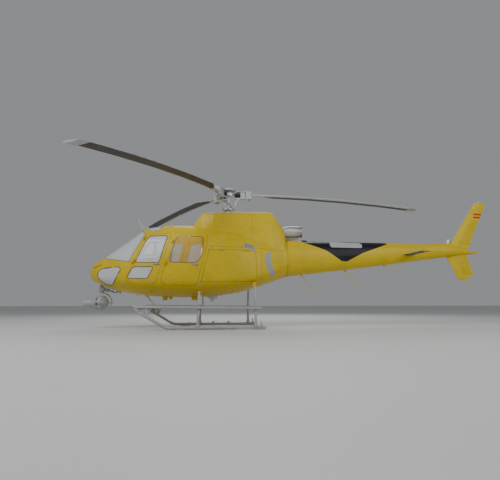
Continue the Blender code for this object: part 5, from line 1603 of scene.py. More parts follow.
for side, finish, word in ((left, redLamp, "left"), (right, greenLamp, "right")):
    x, y = 4.96, side * 1.262  # on the stabiliser's tip
    holder = blockMesh("holder", at(x + 0.03, y, 1.972), (0.115, 0.028, 0.024), bevel=0.006)
    addPiece("tipLampHolder_" + word, holder, fittingPaint, "airframe")
    bulb = lathe("bulb", at(x - 0.022, y, 1.974), (-1, 0, 0),
                 ((-0.004, 0.013), (0.006, 0.013), (0.018, 0.010), (0.024, 0.004)), 20)
    addPiece("tipLamp_" + word, bulb, finish, "airframe")
    ribs = []
    for y in np.linspace(0.30, 1.20, 6):
        ribs.append([at(x2, side * y, 1.9632 + lift)
                     for x2, lift in ((4.88, 0.0005), (4.95, 0.0012), (5.05, -0.002), (5.14, -0.008))])
    placeStrips("stabRibs_" + word, ribs, boomPaint, "airframe", 0.0028, 8, "yellow_paint")
    half, thick = 0.165, 0.026
    collar = [at(4.985 + half * math.cos(a), side * 0.262, 1.945 + thick * math.sin(a))
              for a in np.linspace(0, 2 * math.pi, 26, endpoint=False)]
    placeStrips("stabCollar_" + word, [collar], doorPaint, "airframe", 0.008, 8, "yellow_paint", closed=True)

# tail rotor: hub cap, straps, weights, leading edges and pitch links
tailHub = dict(x=6.33, y=0.37, z=2.12)
hubStart = at(tailHub["x"], tailHub["y"], tailHub["z"])
hubParts = [
    lathe("cap", hubStart + Vector((0, 0.045, 0)), (0, 1, 0),
          ((0, 0.034), (0.010, 0.032), (0.016, 0.018), (0.018, 0.016)), 24),
    blockMesh("yokeTop", hubStart + Vector((0.0, 0.016, 0.0)), (0.34, 0.010, 0.078), bevel=0.003),
    blockMesh("yokeLow", hubStart + Vector((0.0, -0.018, 0.0)), (0.34, 0.010, 0.078), bevel=0.003),
]
for turn in (-1, 1):
    hubParts.append(lathe("horn", hubStart + Vector((turn * 0.20, -0.03, turn * 0.045)), (0, 1, 0),
                          ((0, 0.012), (0.055, 0.012)), 14))
    hubParts.append(lathe("weight", hubStart + Vector((turn * 0.155, 0.03, turn * -0.05)), (0, 0, -turn),
                          ((0, 0.010), (0.045, 0.010), (0.05, 0.022), (0.075, 0.022)), 18))
addJoined("tailHub", hubParts, 40, alloy, "tail_rotor_body")
strips = []
for turn in (-1, 1):
    lead = [hubStart + Vector((turn * r, 0.0, -turn * 0.0925 if r >= 0.26 else -turn * 0.035))
            for r in np.linspace(0.28, 0.925, 10)]
    strips.append(lead)
placeStrips("tailEdges", strips, steel, "tail_rotor_body", 0.0058, 8, "bare_steel")
gearParts = [
    lathe("flange", at(tailHub["x"], 0.262, tailHub["z"]), (0, 1, 0),
          ((0, 0.082), (0.012, 0.082), (0.014, 0.078)), 32),
    lathe("output", at(tailHub["x"], 0.30, tailHub["z"]), (0, 1, 0),
          ((0, 0.044), (0.030, 0.040), (0.034, 0.032)), 28),
]
addJoined("gearboxFlange", gearParts, 40, steel, "airframe")
flangeBolts = []
for k in range(8):
    a = 2 * math.pi * k / 8
    flangeBolts.append(plainMark(at(tailHub["x"] + 0.070 * math.cos(a), 0.276,
                                    tailHub["z"] + 0.070 * math.sin(a)),
                                 (0, 1, 0)))
placeStuds("flangeBolts", flangeBolts, boltSteel, "airframe", 0.007, 0.005, 6, "bare_steel", smooth=50)
print("tail done")


# landing gear: saddles, clamps, fairings, step grip, struts and end plugs
gear = dict(skidY=1.107, stepIn=1.128, stepMiddle=1.150, legs=(-0.67, 0.672), skidZ=0.046,
            stepTop=((-2.06, 0.5625), (0.79, 0.5368)), lugs=(-0.30, 0.12))


def teardrop(centre, nose, tail, half, steps=16):
    # a fairing's section in plan: round in front, drawn to an edge aft
    ring = []
    for k in range(steps):
        a = 2 * math.pi * k / steps
        c, s = math.cos(a), math.sin(a)
        reach = tail if c > 0 else nose
        ring.append(Vector(centre) + Vector((c * reach, s * half * (1 - 0.45 * max(0.0, c)), 0)))
    return ring


for side, word in sides:
    metal, grey, dark, yellow, bolts = [], [], [], [], []
    y = side * gear["skidY"]
    for x in gear["legs"]:
        metal.append(lathe("saddle", at(x - 0.075, y, gear["skidZ"]), (1, 0, 0), (
            (0, 0.0385), (0.004, 0.0415), (0.018, 0.0415), (0.022, 0.0385), (0.128, 0.0385), (0.132, 0.0415),
            (0.146, 0.0415), (0.150, 0.0385)), 28))
        metal.append(lathe("foot", at(x, y, 0.070), (0, -side * 0.016, 1), (
            (0, 0.052), (0.030, 0.046), (0.075, 0.036), (0.120, 0.034), (0.123, 0.031)), 28))
        grey.append(lathe("collar", at(x + 0.002, y + side * 0.002, 0.478), (0, 0, 1), (
            (0, 0.0345), (0.004, 0.037), (0.082, 0.037), (0.086, 0.0345)), 28))
        grey.append(blockMesh("bracket", at(x, side * gear["stepIn"], 0.515), (0.060, 0.030, 0.046),
                              bevel=0.006))
        for dx in (-0.055, 0.055):
            for dz in (-1, 1):
                place = at(x + dx, y, gear["skidZ"]) + Vector((0, side * 0.0405, dz * 0.004))
                bolts.append(plainMark(place, Vector((0, side, 0))))
    for x, z in ((-1.43, 0.112), (-0.93, 0.080), (-0.98, 0.080)):
        grey.append(lathe("bump", at(x, y, z - 0.008), (0, 0, 1),
                          ((0, 0.016), (0.018, 0.015), (0.026, 0.008)), 16))
    for x in gear["lugs"]:
        for dy in (-0.018, 0.018):
            grey.append(blockMesh("lug", at(x, y + dy, 0.096), (0.055, 0.008, 0.040), bevel=0.002))
        grey.append(lathe("lugPin", at(x, y - 0.026, 0.100), (0, 1, 0), ((0, 0.007), (0.052, 0.007)), 14))
        grey.append(lathe("band", at(x - 0.03, y, gear["skidZ"]), (1, 0, 0),
                          ((0, 0.0375), (0.003, 0.039), (0.057, 0.039), (0.06, 0.0375)), 26))
    # leg fairing aft of the front leg, and the root covers at the belly
    rings = []
    for z, out, nose, tail in ((0.575, 1.0935, 0.034, 0.088), (0.66, 1.063, 0.034, 0.080),
                               (0.74, 1.030, 0.034, 0.070), (0.80, 0.945, 0.034, 0.055)):
        rings.append(teardrop(at(-0.661, side * out, z), nose, tail, 0.034))
    dark.append(lofted("legFairing", rings, 50))
    for x, low, high in ((0.656, (0.90, 1.012), (0.735, 1.082)), (-0.659, (0.87, 0.856), (0.72, 0.878))):
        start, end = at(x, side * low[0], low[1]), at(x, side * high[0], high[1])
        way = end - start
        yellow.append(lathe("rootCover", start, way,
                            ((0, 0.0325), (0.006, 0.036), (way.length * 0.6, 0.048), (way.length, 0.060)),
                            28))
    # struts at the front end of the step
    for start, end, radius in (
            ((-1.925, y, 0.372), (-1.985, side * gear["stepMiddle"], 0.500), 0.012),
            ((-1.80, y, 0.300), (-1.725, side * gear["stepMiddle"], 0.496), 0.013),
            ((-1.90, y, 0.355), (-1.82, side * gear["stepMiddle"], 0.498), 0.012)):
        a, b = at(start[0], start[1], start[2]), at(end[0], end[1], end[2])
        grey.append(lathe("strut", a, b - a, ((0, radius), ((b - a).length, radius)), 14))
    grey.append(plateFrom("gusset", ((-1.99, 0.500), (-1.86, 0.500), (-1.905, 0.385), (-1.935, 0.40)),
                          *sorted((side * gear["stepIn"], side * 1.135)), 0.001))
    # the step: grip strips on top, a fold along each edge and end caps
    (x0, z0), (x1, z1) = gear["stepTop"]
    slope = Vector((x1 - x0, 0, z1 - z0)).normalized()
    across = Vector((-slope.z, 0, slope.x))
    count = 46
    grips = []
    for k in range(count):
        t = (k + 0.5) / count
        place = at(x0 + (x1 - x0) * t, side * 1.163, z0 + (z1 - z0) * t) + across * 0.0006
        grips.append((place, across, slope, (0.030, 0.034, 0.0045)))
    placePlates("stepGrip_" + word, grips, treadRubber, "airframe", 0.82, "dark_panel")
    for inner in (1.1405, 1.1855):
        fold = [at(x0 + (x1 - x0) * t, side * inner, z0 + (z1 - z0) * t + 0.0005)
                for t in np.linspace(0.0, 1, 12)]
        placeStrips("stepFold_%s_%d" % (word, inner * 1000), [fold], gearPaint, "airframe", 0.0032, 8,
                    "grey_paint")
    for x in (-1.35, -0.98, -0.30, 0.05, 0.38):
        t = (x - x0) / (x1 - x0)
        place = at(x, side * 1.1885, z0 + (z1 - z0) * t - 0.031)
        bolts.append(plainMark(place, Vector((0, side, 0))))
    # shoes, the tail spike's foot and the tube plugs
    for low, high in ((-1.20, -0.95), (0.20, 0.90)):
        for x in np.linspace(low + 0.03, high - 0.03, 3 if low < 0 else 5):
            for dy in (-0.0302, 0.0302):
                bolts.append(plainMark(at(x, y + dy, 0.014), Vector((0, math.copysign(1, dy), 0))))
    grey.append(blockMesh("spikeFoot", at(0.80, y, 0.088), (0.075, 0.050, 0.016), bevel=0.004))
    plug = lathe("plug", at(0.8985, y, gear["skidZ"]), (1, 0, 0),
                 ((0, 0.033), (0.004, 0.032), (0.008, 0.024)), 28)
    addPiece("skidPlug_" + word, plug, treadRubber, "airframe")
    addJoined("skidSaddles_" + word, metal, 40, gearPaint, "airframe")
    addJoined("skidFittings_" + word, grey, 40, gearPaint, "airframe")
    addJoined("legFairings_" + word, dark, 50, plateGrey, "airframe")
    addJoined("legRoots_" + word, yellow, 50, fittingPaint, "airframe")
    placeStuds("skidBolts_" + word, bolts, boltSteel, "airframe", 0.0075, 0.006, 6, "bare_steel")
print("landing gear done")


# wire cutter over the windscreen
cutter = dict(
    outline=((-2.274, 2.7865), (-2.262, 2.787), (-2.205, 2.665), (-2.150, 2.580), (-2.09, 2.550),
             (-1.966, 2.530),
             (-1.964, 2.512), (-2.02, 2.490), (-2.10, 2.462), (-2.165, 2.415), (-2.182, 2.475),
             (-2.225, 2.610)),
    half=0.010)
cutterSkin = plateFrom("cutterSkin", cutter["outline"], -cutter["half"], cutter["half"], 0.0025)
addPiece("cutterSkin", cutterSkin, gearPaint, "airframe", ("wire_cutter",))
blade = [at(x - 0.002, 0, z) for x, z in ((-2.258, 2.745), (-2.225, 2.645), (-2.192, 2.530), (-2.176, 2.450))]
placeStrips("cutterEdge", [blade], steel, "airframe", 0.005, 8, "bare_steel")
cutterFoot, cutterBolts = [], []
for dx in (0.0, 0.055, 0.110, 0.165):
    place, normal = onTop(-2.135 + dx, 0.0)
    cutterFoot.append(blockMesh("foot", place + normal * 0.004, (0.060, 0.062, 0.010),
                                Vector((1, 0, 0)) - normal * normal.x, normal, 0.002))
    for y in (-0.024, 0.024):
        cutterBolts.append(facingMark(place + normal * 0.009 + Vector((0, y, 0)), normal))
addJoined("cutterFoot", cutterFoot, 40, gearPaint, "airframe")
placeStuds("cutterBolts", cutterBolts, boltSteel, "airframe", 0.006, 0.004, 6, "bare_steel")

# exhaust: mouth rim, welded rings, clamp bolts and the ledge under it
exhaust = dict(start=(1.62, 2.515), length=0.365, rise=0.010)
exhaustWay = Vector((exhaust["length"], 0, exhaust["rise"])).normalized()
mouth = at(1.985, 0, 2.525)
rim = lathe("rim", mouth - exhaustWay * 0.004, exhaustWay, (
    (0, 0.1535), (0.006, 0.1555), (0.012, 0.1535), (0.012, 0.141), (0.0, 0.1405)), 48)
rings = [rim]
for x, radius in ((1.640, 0.1600), (1.750, 0.1575), (1.860, 0.1552)):
    t = (x - exhaust["start"][0]) / exhaust["length"]
    rings.append(lathe("weld", at(x, 0, exhaust["start"][1] + exhaust["rise"] * t), exhaustWay,
                       ((0, radius), (0.004, radius + 0.003), (0.010, radius + 0.003), (0.014, radius)), 48))
addJoined("exhaustRings", rings, 40, exhaustSteel, "airframe")
ledge = plateFrom("ledge", ((1.470, 2.334), (1.94, 2.3655), (1.894, 2.322), (1.60, 2.296)), -0.085, 0.085,
                  0.006)
addPiece("exhaustLedge", ledge, gearPaint, "airframe")
# painted shade: dark plates on the ledge's sides stand for the shaded slots
slots = []
for side in (left, right):
    for x in (1.62, 1.70, 1.78, 1.86):
        z = 2.316 + (x - 1.6) * 0.09
        slots.append((at(x, side * 0.0855, z + 0.008), Vector((0, side, 0)),
                      Vector((1, 0, 0.07)).normalized(), (0.052, 0.014, 0.004)))
placePlates("ledgeSlots", slots, darkPaintAndShade, "airframe", 0.9, "dark_panel")
clampBolts = [plainMark(at(1.66 + dx, -0.150, 2.46), Vector((0, -0.92, -0.38))) for dx in (0.0, 0.11, 0.22)]
placeStuds("exhaustBolts", clampBolts, boltSteel, "airframe", 0.008, 0.006, 6, "bare_steel")
print("cutter and exhaust done")


# rotor head, in the rotor's own tilted frame
rotorTilt = math.radians(1.24)
rotorTurn = Matrix.Translation(at(0, 0, 3.47)) @ Matrix.Rotation(-rotorTilt, 4, "Y")
rubber, alloys, bright, hubBolts = [], [], [], []


def onRotor(mesh, azimuth=0.0):
    mesh.transform(rotorTurn @ Matrix.Rotation(azimuth, 4, "Z"))
    return mesh


def rotorMark(place, facing, azimuth, along=(1, 0, 0)):
    turn = (rotorTurn @ Matrix.Rotation(azimuth, 4, "Z"))
    return (turn @ Vector(place), turn.to_3x3() @ Vector(facing), turn.to_3x3() @ Vector(along), (1, 1, 1))


def sidePlate(name, outline, low, high, bevel=0.002):
    mesh = plateFrom(name, outline, low, high, bevel)
    mesh.transform(Matrix.Translation((-mastX, 0, 0)))
    return mesh


hub = dict(plate=0.0853, thick=0.018, cap=(
    (0.106, 0.176), (0.109, 0.204), (0.113, 0.2065), (0.122, 0.204), (0.136, 0.178), (0.150, 0.135),
    (0.160, 0.085), (0.1655, 0.040)))
bright.append(onRotor(lathe("cap", (0, 0, 0), (0, 0, 1), hub["cap"], 56)))
alloys.append(onRotor(lathe("capStem", (0, 0, 0.03), (0, 0, 1),
                            ((0, 0.10), (0.012, 0.098), (0.03, 0.066), (0.078, 0.060)), 32)))
for z, radius, tall in ((-0.10, 0.056, 0.020), (-0.20, 0.052, 0.014), (-0.30, 0.054, 0.016),
                        (-0.355, 0.060, 0.018)):
    alloys.append(onRotor(lathe("mastRing", (0, 0, z), (0, 0, 1),
                                ((0, 0.046), (0.002, radius), (tall, radius), (tall + 0.002, 0.046)), 32)))
alloys.append(onRotor(lathe("swashRing", (0, 0, -0.394), (0, 0, 1),
                            ((0, 0.135), (0.012, 0.132), (0.020, 0.110), (0.020, 0.060)), 40)))
alloys.append(onRotor(lathe("swashRim", (0, 0, -0.4155), (0, 0, 1),
                            ((0, 0.162), (0.003, 0.1672), (0.018, 0.1672), (0.021, 0.162)), 48)))
for k in range(12):
    a = 2 * math.pi * k / 12
    hubBolts.append(rotorMark((0.148 * math.cos(a), 0.148 * math.sin(a), -0.3925), (0, 0, 1), 0.0))
for n in range(3):
    azimuth = 2 * math.pi * n / 3
    # laminated bearing between the star and the sleeve
    profile = []
    for k in range(8):
        profile += [(k * 0.018, 0.060), (k * 0.018 + 0.009, 0.060), (k * 0.018 + 0.009, 0.053),
                    (k * 0.018 + 0.018, 0.053)]
    rubber.append(onRotor(lathe("bearing", (0.175, 0, 0), (1, 0, 0), profile, 28), azimuth))
    rubber.append(onRotor(blockMesh("starArm", (0.25, 0, 0), (0.16, 0.104, 0.056), bevel=0.008), azimuth))
    for level in (-1, 1):
        z = level * (hub["plate"] + hub["thick"])
        for r, y in ((0.255, -0.045), (0.255, 0.045), (0.345, -0.048), (0.345, 0.048), (0.425, -0.048),
                     (0.425, 0.048)):
            hubBolts.append(rotorMark((r, y, z), (0, 0, level), azimuth))
        alloys.append(onRotor(blockMesh("plateEdge", (0.40, 0, level * (hub["plate"] + hub["thick"] + 0.002)),
                                        (0.33, 0.110, 0.005), bevel=0.002), azimuth))
    # blade pins, the lugs under the sleeve's outer end and the pitch horn
    for y in (-0.046, 0.046):
        bright.append(onRotor(lathe("pin", (0.555, y, -0.145), (0, 0, 1), (
            (0, 0.009), (0.004, 0.013), (0.014, 0.013), (0.016, 0.0185), (0.037, 0.0185), (0.251, 0.0185),
            (0.266, 0.0185),
            (0.268, 0.013), (0.276, 0.013), (0.282, 0.006)), 18), azimuth))
    # ball weight on a short stalk over the sleeve
    bright.append(onRotor(lathe("weight", (0.500, 0, 0.093), (0, 0, 1), (
        (0, 0.010), (0.014, 0.008), (0.018, 0.015), (0.026, 0.023), (0.036, 0.027), (0.046, 0.025),
        (0.056, 0.017), (0.061, 0.006)), 20), azimuth))
    for x in (0.515, 0.605):
        alloys.append(onRotor(blockMesh("lug", (x, 0, -0.118), (0.016, 0.120, 0.034), bevel=0.004), azimuth))
    for y in (-0.078, -0.018):
        alloys.append(onRotor(sidePlate("horn",
                                        ((0.217, -0.1035), (0.335, -0.1035), (0.262, -0.150),
                                         (0.232, -0.150)), y, y + 0.008), azimuth))
    bright.append(onRotor(lathe("hornPin", (0.246, -0.082, -0.134), (0, 1, 0), ((0, 0.010), (0.082, 0.010)),
                                16), azimuth))
    bright.append(onRotor(lathe("linkFoot", (0.145, -0.045, -0.400), (0.1, 0, 0.30),
                                ((0, 0.016), (0.022, 0.017), (0.034, 0.0125), (0.062, 0.0125),
                                 (0.070, 0.0115)), 16), azimuth))
    # mast scissors
    if n != 1:
        a0, a1, a2 = Vector((0.052, 0, -0.225)), Vector((0.135, 0, -0.300)), Vector((0.105, 0, -0.388))
        turn = azimuth + math.radians(50)
        for low, high in ((a0, a1), (a1, a2)):
            middle = (low + high) / 2
            for y in (-0.013, 0.013):
                alloys.append(onRotor(blockMesh("scissor", middle + Vector((0, y, 0)),
                                                (0.024, 0.007, (high - low).length + 0.020), (1, 0, 0),
                                                high - low, 0.002), turn))
        bright.append(onRotor(lathe("scissorPin", a1 - Vector((0, 0.022, 0)), (0, 1, 0),
                                    ((0, 0.010), (0.044, 0.010)), 14), turn))
        alloys.append(onRotor(blockMesh("scissorFoot", a2 + Vector((0, 0, -0.002)), (0.036, 0.040, 0.022),
                                        bevel=0.004), turn))
addJoined("hubRubber", rubber, 40, hubRubber, "main_rotor")
addJoined("hubAlloy", alloys, 40, alloy, "main_rotor")
addJoined("hubBright", bright, 40, gearPaint, "main_rotor")
placeStuds("hubBolts", hubBolts, boltSteel, "main_rotor", 0.009, 0.007, 6, "bare_steel")

# trim tabs on each blade
bladeLength = dict(hinge=0.62, tip=5.345, droop=0.31)


def bladeDroop(reach):
    share = (reach - bladeLength["hinge"]) / (bladeLength["tip"] - bladeLength["hinge"])
    return -bladeLength["droop"] * max(0.0, share) ** 1.9


for n in range(3):
    azimuth = 2 * math.pi * n / 3
    tabs = []
    for reach in (3.55, 3.80, 4.05):
        turn = rotorTurn @ Matrix.Rotation(azimuth, 4, "Z")
        slope = (bladeDroop(reach + 0.1) - bladeDroop(reach - 0.1)) / 0.2
        facing = turn.to_3x3() @ Vector((-slope, 0, 1)).normalized()
        along = turn.to_3x3() @ Vector((1, 0, slope)).normalized()
        tabs.append((turn @ Vector((reach, 0.262, bladeDroop(reach))), facing, along, (0.20, 0.050, 0.003)))
    placePlates("trimTabs_%d" % (n + 1), tabs, plateGrey, "main_rotor", 0.95, "rotor_grey")
print("rotor head done")


# camera under the nose: mount, collar, lens, sensor windows, screws
ball = dict(x=-3.05, z=0.62, radius=0.185, way=(-1, 0, -0.02))
ballMiddle = at(ball["x"], 0, ball["z"])
mountBits = [
    lathe("column", at(-3.060, 0, 1.000), (0.03, 0, 1), ((0, 0.040), (0.060, 0.034), (0.115, 0.036)), 28),
    blockMesh("upperBlock", at(-3.045, 0, 0.968), (0.150, 0.130, 0.080), bevel=0.026),
    lathe("turnDisc", at(ball["x"], 0, 0.906), (0, 0, 1),
          ((0, 0.058), (0.008, 0.066), (0.030, 0.066), (0.040, 0.058)), 36),
    blockMesh("midBlock", at(-2.915, 0, 0.948), (0.110, 0.110, 0.056), (1, 0, -0.22), (0.22, 0, 1), 0.016),
]
addJoined("mountSkin", mountBits, 45, cameraPaint, "airframe", ("camera_mount",))
elbows = []
for y in (-0.046, 0.046):
    elbows.append([at(x, y, z) for x, z in ((-2.835, 0.925), (-2.775, 0.882), (-2.722, 0.866),
                                            (-2.690, 0.885), (-2.668, 0.925))])
placeStrips("mountElbows", elbows, cameraPaint, "airframe", 0.0135, 14, "camera_grey")
# painted shade: dark blocks fill the gap between the mount's blocks and the slot under the lower one
mountDark = [
    blockMesh("slot", at(-2.972, 0, 0.940), (0.022, 0.100, 0.044), bevel=0.004),
    blockMesh("slotLow", at(-2.905, 0, 0.9235), (0.080, 0.112, 0.010), (1, 0, -0.10), (0.10, 0, 1), 0.002),
]
addJoined("mountGaps", mountDark, 45, darkPaintAndShade, "airframe")
mountBolts = []
for x, z in ((-3.095, 0.998), (-3.000, 0.998), (-3.095, 0.958), (-3.000, 0.958), (-2.945, 0.970),
             (-2.868, 0.962)):
    for side in (left, right):
        y = 0.0645 if x < -2.96 else 0.0545
        mountBolts.append(plainMark(at(x, side * y, z), (0, side, 0)))
placeStuds("mountBolts", mountBolts, boltSteel, "airframe", 0.006, 0.003, 6, "bare_steel")
cablePath = [at(x, 0.034, z) for x, z in ((-3.00, 0.945), (-2.95, 0.900), (-2.88, 0.893), (-2.80, 0.900),
                                          (-2.76, 0.925))]
placeStrips("mountPipe", [cablePath], darkPaintAndShade, "airframe", 0.006, 10, "dark_panel")

lensParts = [
    lathe("collar", ballMiddle + Vector((-0.128, 0, -0.006)), ball["way"],
          ((0, 0.131), (0.014, 0.131), (0.018, 0.126), (0.030, 0.116), (0.034, 0.112)), 44),
    lathe("band", ballMiddle + Vector((-0.235, 0, -0.009)), ball["way"],
          ((0, 0.1085), (0.003, 0.1115), (0.018, 0.1115), (0.021, 0.1085)), 44),
    lathe("hoodRim", ballMiddle + Vector((-0.384, 0, -0.012)), ball["way"], (
        (0, 0.1045), (0.004, 0.107), (0.014, 0.107), (0.0175, 0.104), (0.0175, 0.094), (0.010, 0.0915)), 48),
]
addJoined("lensBarrel", lensParts, 40, cameraPaint, "camera_ball_body")
glassFace = lathe("lensFace", ballMiddle + Vector((-0.3965, 0, -0.012)), ball["way"],
                  ((0, 0.092), (0.003, 0.088), (0.006, 0.055), (0.0075, 0.018)), 48)
addPiece("lensFace", glassFace, lensGlass, "camera_ball_body")
windowsOn, ballScrews, ballSeams = [], [], []


def onBall(turnDeg, liftDeg, lift=0.0):
    turn, rise = math.radians(turnDeg), math.radians(liftDeg)
    way = Vector((-math.cos(turn) * math.cos(rise), -math.sin(turn) * math.cos(rise), math.sin(rise)))
    return ballMiddle + way * (ball["radius"] + lift), way


for turn, rise, radius in ((62, 30, 0.026), (68, -8, 0.034), (-62, 30, 0.026), (-68, -8, 0.034),
                           (40, -44, 0.020), (104, 24, 0.022), (110, -24, 0.018)):
    place, way = onBall(turn, rise, -0.004)
    windowsOn.append(lathe("port", place, way,
                           ((0, radius), (0.007, radius), (0.010, radius * 0.86), (0.0075, radius * 0.80)),
                           30))
addJoined("ballPorts", windowsOn, 40, innerGrey, "camera_ball_body")
eyes = []
for turn, rise, radius in ((62, 30, 0.020), (68, -8, 0.027), (-62, 30, 0.020), (-68, -8, 0.027),
                           (40, -44, 0.015)):
    place, way = onBall(turn, rise, 0.002)
    eyes.append(lathe("eye", place, way, ((0, radius), (0.003, radius * 0.9), (0.004, radius * 0.4)), 26))
addJoined("ballEyes", eyes, 40, lensGlass, "camera_ball_body")
for turn in range(30, 340, 18):
    for rise in (-58, 58):
        place, way = onBall(turn, rise, -0.0008)
        ballScrews.append((place, way, Vector((0, 0, 1)) - way * way.z, (1, 1, 1)))
for turn in (52, 128, 232, 308):
    for rise in range(-48, 50, 16):
        place, way = onBall(turn, rise, -0.0008)
        ballScrews.append((place, way, Vector((0, 0, 1)) - way * way.z, (1, 1, 1)))
placeStuds("ballScrews", ballScrews, boltSteel, "camera_ball_body", 0.0042, 0.0018, 8, "bare_steel")
for rise in (-52, 52):
    ballSeams.append([onBall(turn, rise, -0.0012)[0] for turn in range(24, 337, 8)])
for turn in (58, 122, 238, 302):
    ballSeams.append([onBall(turn, rise, -0.0012)[0] for rise in range(-52, 53, 8)])
placeStrips("ballSeams", ballSeams, innerGrey, "camera_ball_body", 0.0028, 6, "camera_grey")
yokeBits = []
for side in (left, right):
    yokeBits.append(lathe("pivot", at(ball["x"], side * 0.2025, ball["z"]), (0, side, 0),
                          ((0, 0.030), (0.010, 0.030), (0.016, 0.026), (0.024, 0.018)), 28))
yokeBits.append(lathe("hubRing", at(ball["x"], 0, 0.888), (0, 0, -1),
                      ((0, 0.054), (0.006, 0.056), (0.016, 0.056), (0.020, 0.050)), 36))
yokeBits.append(plateFrom("knobFin", ((-2.812, 0.642), (-2.762, 0.620), (-2.812, 0.598)), -0.006, 0.006,
                          0.002))
addJoined("yokeFittings", yokeBits, 40, cameraPaint, "camera_pan_body")
print("camera done")


# seats and bench: stuffed pads on rigid shells, piping, sewn channels and belts
cushions = dict(voxel=0.011, pressure=4.0, frames=20, travel=0.020, reach=0.3, piping=0.0045, channel=0.0022)


def applied(piece):
    return bpy.data.meshes.new_from_object(piece.evaluated_get(bpy.context.evaluated_depsgraph_get()))


def stuffed(name, outline, low, high):
    # one cover, cut a little small, blown up by a short cloth simulation and then smoothed
    cover = plateFrom(name, outline, low, high, 0.014)
    pad = bpy.data.objects.new(name, cover)
    scene.collection.objects.link(pad)
    remesh = pad.modifiers.new("remesh", "REMESH")
    remesh.mode = "VOXEL"
    remesh.voxel_size = cushions["voxel"]
    pad.data = applied(pad)
    pad.modifiers.clear()
    count = len(pad.data.vertices)
    start = np.empty(count * 3)
    pad.data.vertices.foreach_get("co", start)
    cloth = pad.modifiers.new("cloth", "CLOTH")
    cloth.settings.use_pressure = True
    cloth.settings.uniform_pressure_force = cushions["pressure"]
    cloth.settings.effector_weights.gravity = 0.0
    cloth.point_cache.frame_start = 1
    cloth.point_cache.frame_end = cushions["frames"]
    for frameNumber in range(1, cushions["frames"] + 1):
        scene.frame_set(frameNumber)
    swollen = applied(pad)
    end = np.empty(count * 3)
    swollen.vertices.foreach_get("co", end)
    move = (end - start).reshape(-1, 3)
    length = np.linalg.norm(move, axis=1, keepdims=True)
    move *= np.minimum(1.0, cushions["travel"] / np.maximum(length, 1e-9))
    pad.modifiers.clear()
    pad.data.vertices.foreach_set("co", start + move.ravel())
    scene.frame_set(1)
    smooth = pad.modifiers.new("smooth", "SUBSURF")
    smooth.levels = smooth.render_levels = 1
    done = applied(pad)
    bpy.data.objects.remove(pad)
    done.shade_smooth()
    return done


def shiftedMesh(mesh, y):
    copy = mesh.copy()
    copy.transform(Matrix.Translation((0, y, 0)))
    return copy


def padProbe(tree, way):
    # what a line along the way in meets on a pad, from a station, a distance across and a height
    way = way.normalized()
    return lambda x, y, z: tree.ray_cast(at(x, y, z) - way * cushions["reach"], way)[0]


def sewnPaths(probe, spots, low, high):
    # piping round the face of a pad and channels across it; spots run up the face in station and height
    edge = [(spots[0], y) for y in np.linspace(low, high, 12)]
    edge += [(spots[1], y) for y in np.linspace(high, low, 12)]
    (x0, z0), (x1, z1) = spots
    up = [((x0 + (x1 - x0) * t, z0 + (z1 - z0) * t), high) for t in np.linspace(0.1, 0.9, 9)]
    down = [(spot, low) for spot, _ in up[::-1]]
    loop = [probe(spot[0], y, spot[1]) for spot, y in edge[:12] + up + edge[12:] + down]
    channels = []
    for t in (0.28, 0.52, 0.76):
        spot = (x0 + (x1 - x0) * t, z0 + (z1 - z0) * t)
        channel = [probe(spot[0], y, spot[1]) for y in np.linspace(low + 0.02, high - 0.02, 14)]
        channels.append([p for p in channel if p is not None])
    return [p for p in loop if p is not None], channels


def strap(name, points, width, thick=0.0022):
    # flat webbing along a path; width is a vector across it
    rings = []
    for k, p in enumerate(points):
        along = (points[min(k + 1, len(points) - 1)] - points[max(k - 1, 0)]).normalized()
        out = along.cross(Vector(width)).normalized() * thick
        half = Vector(width) * 0.5
        rings.append([p - half, p + half, p + half + out, p - half + out])
    return lofted(name, rings, 30)


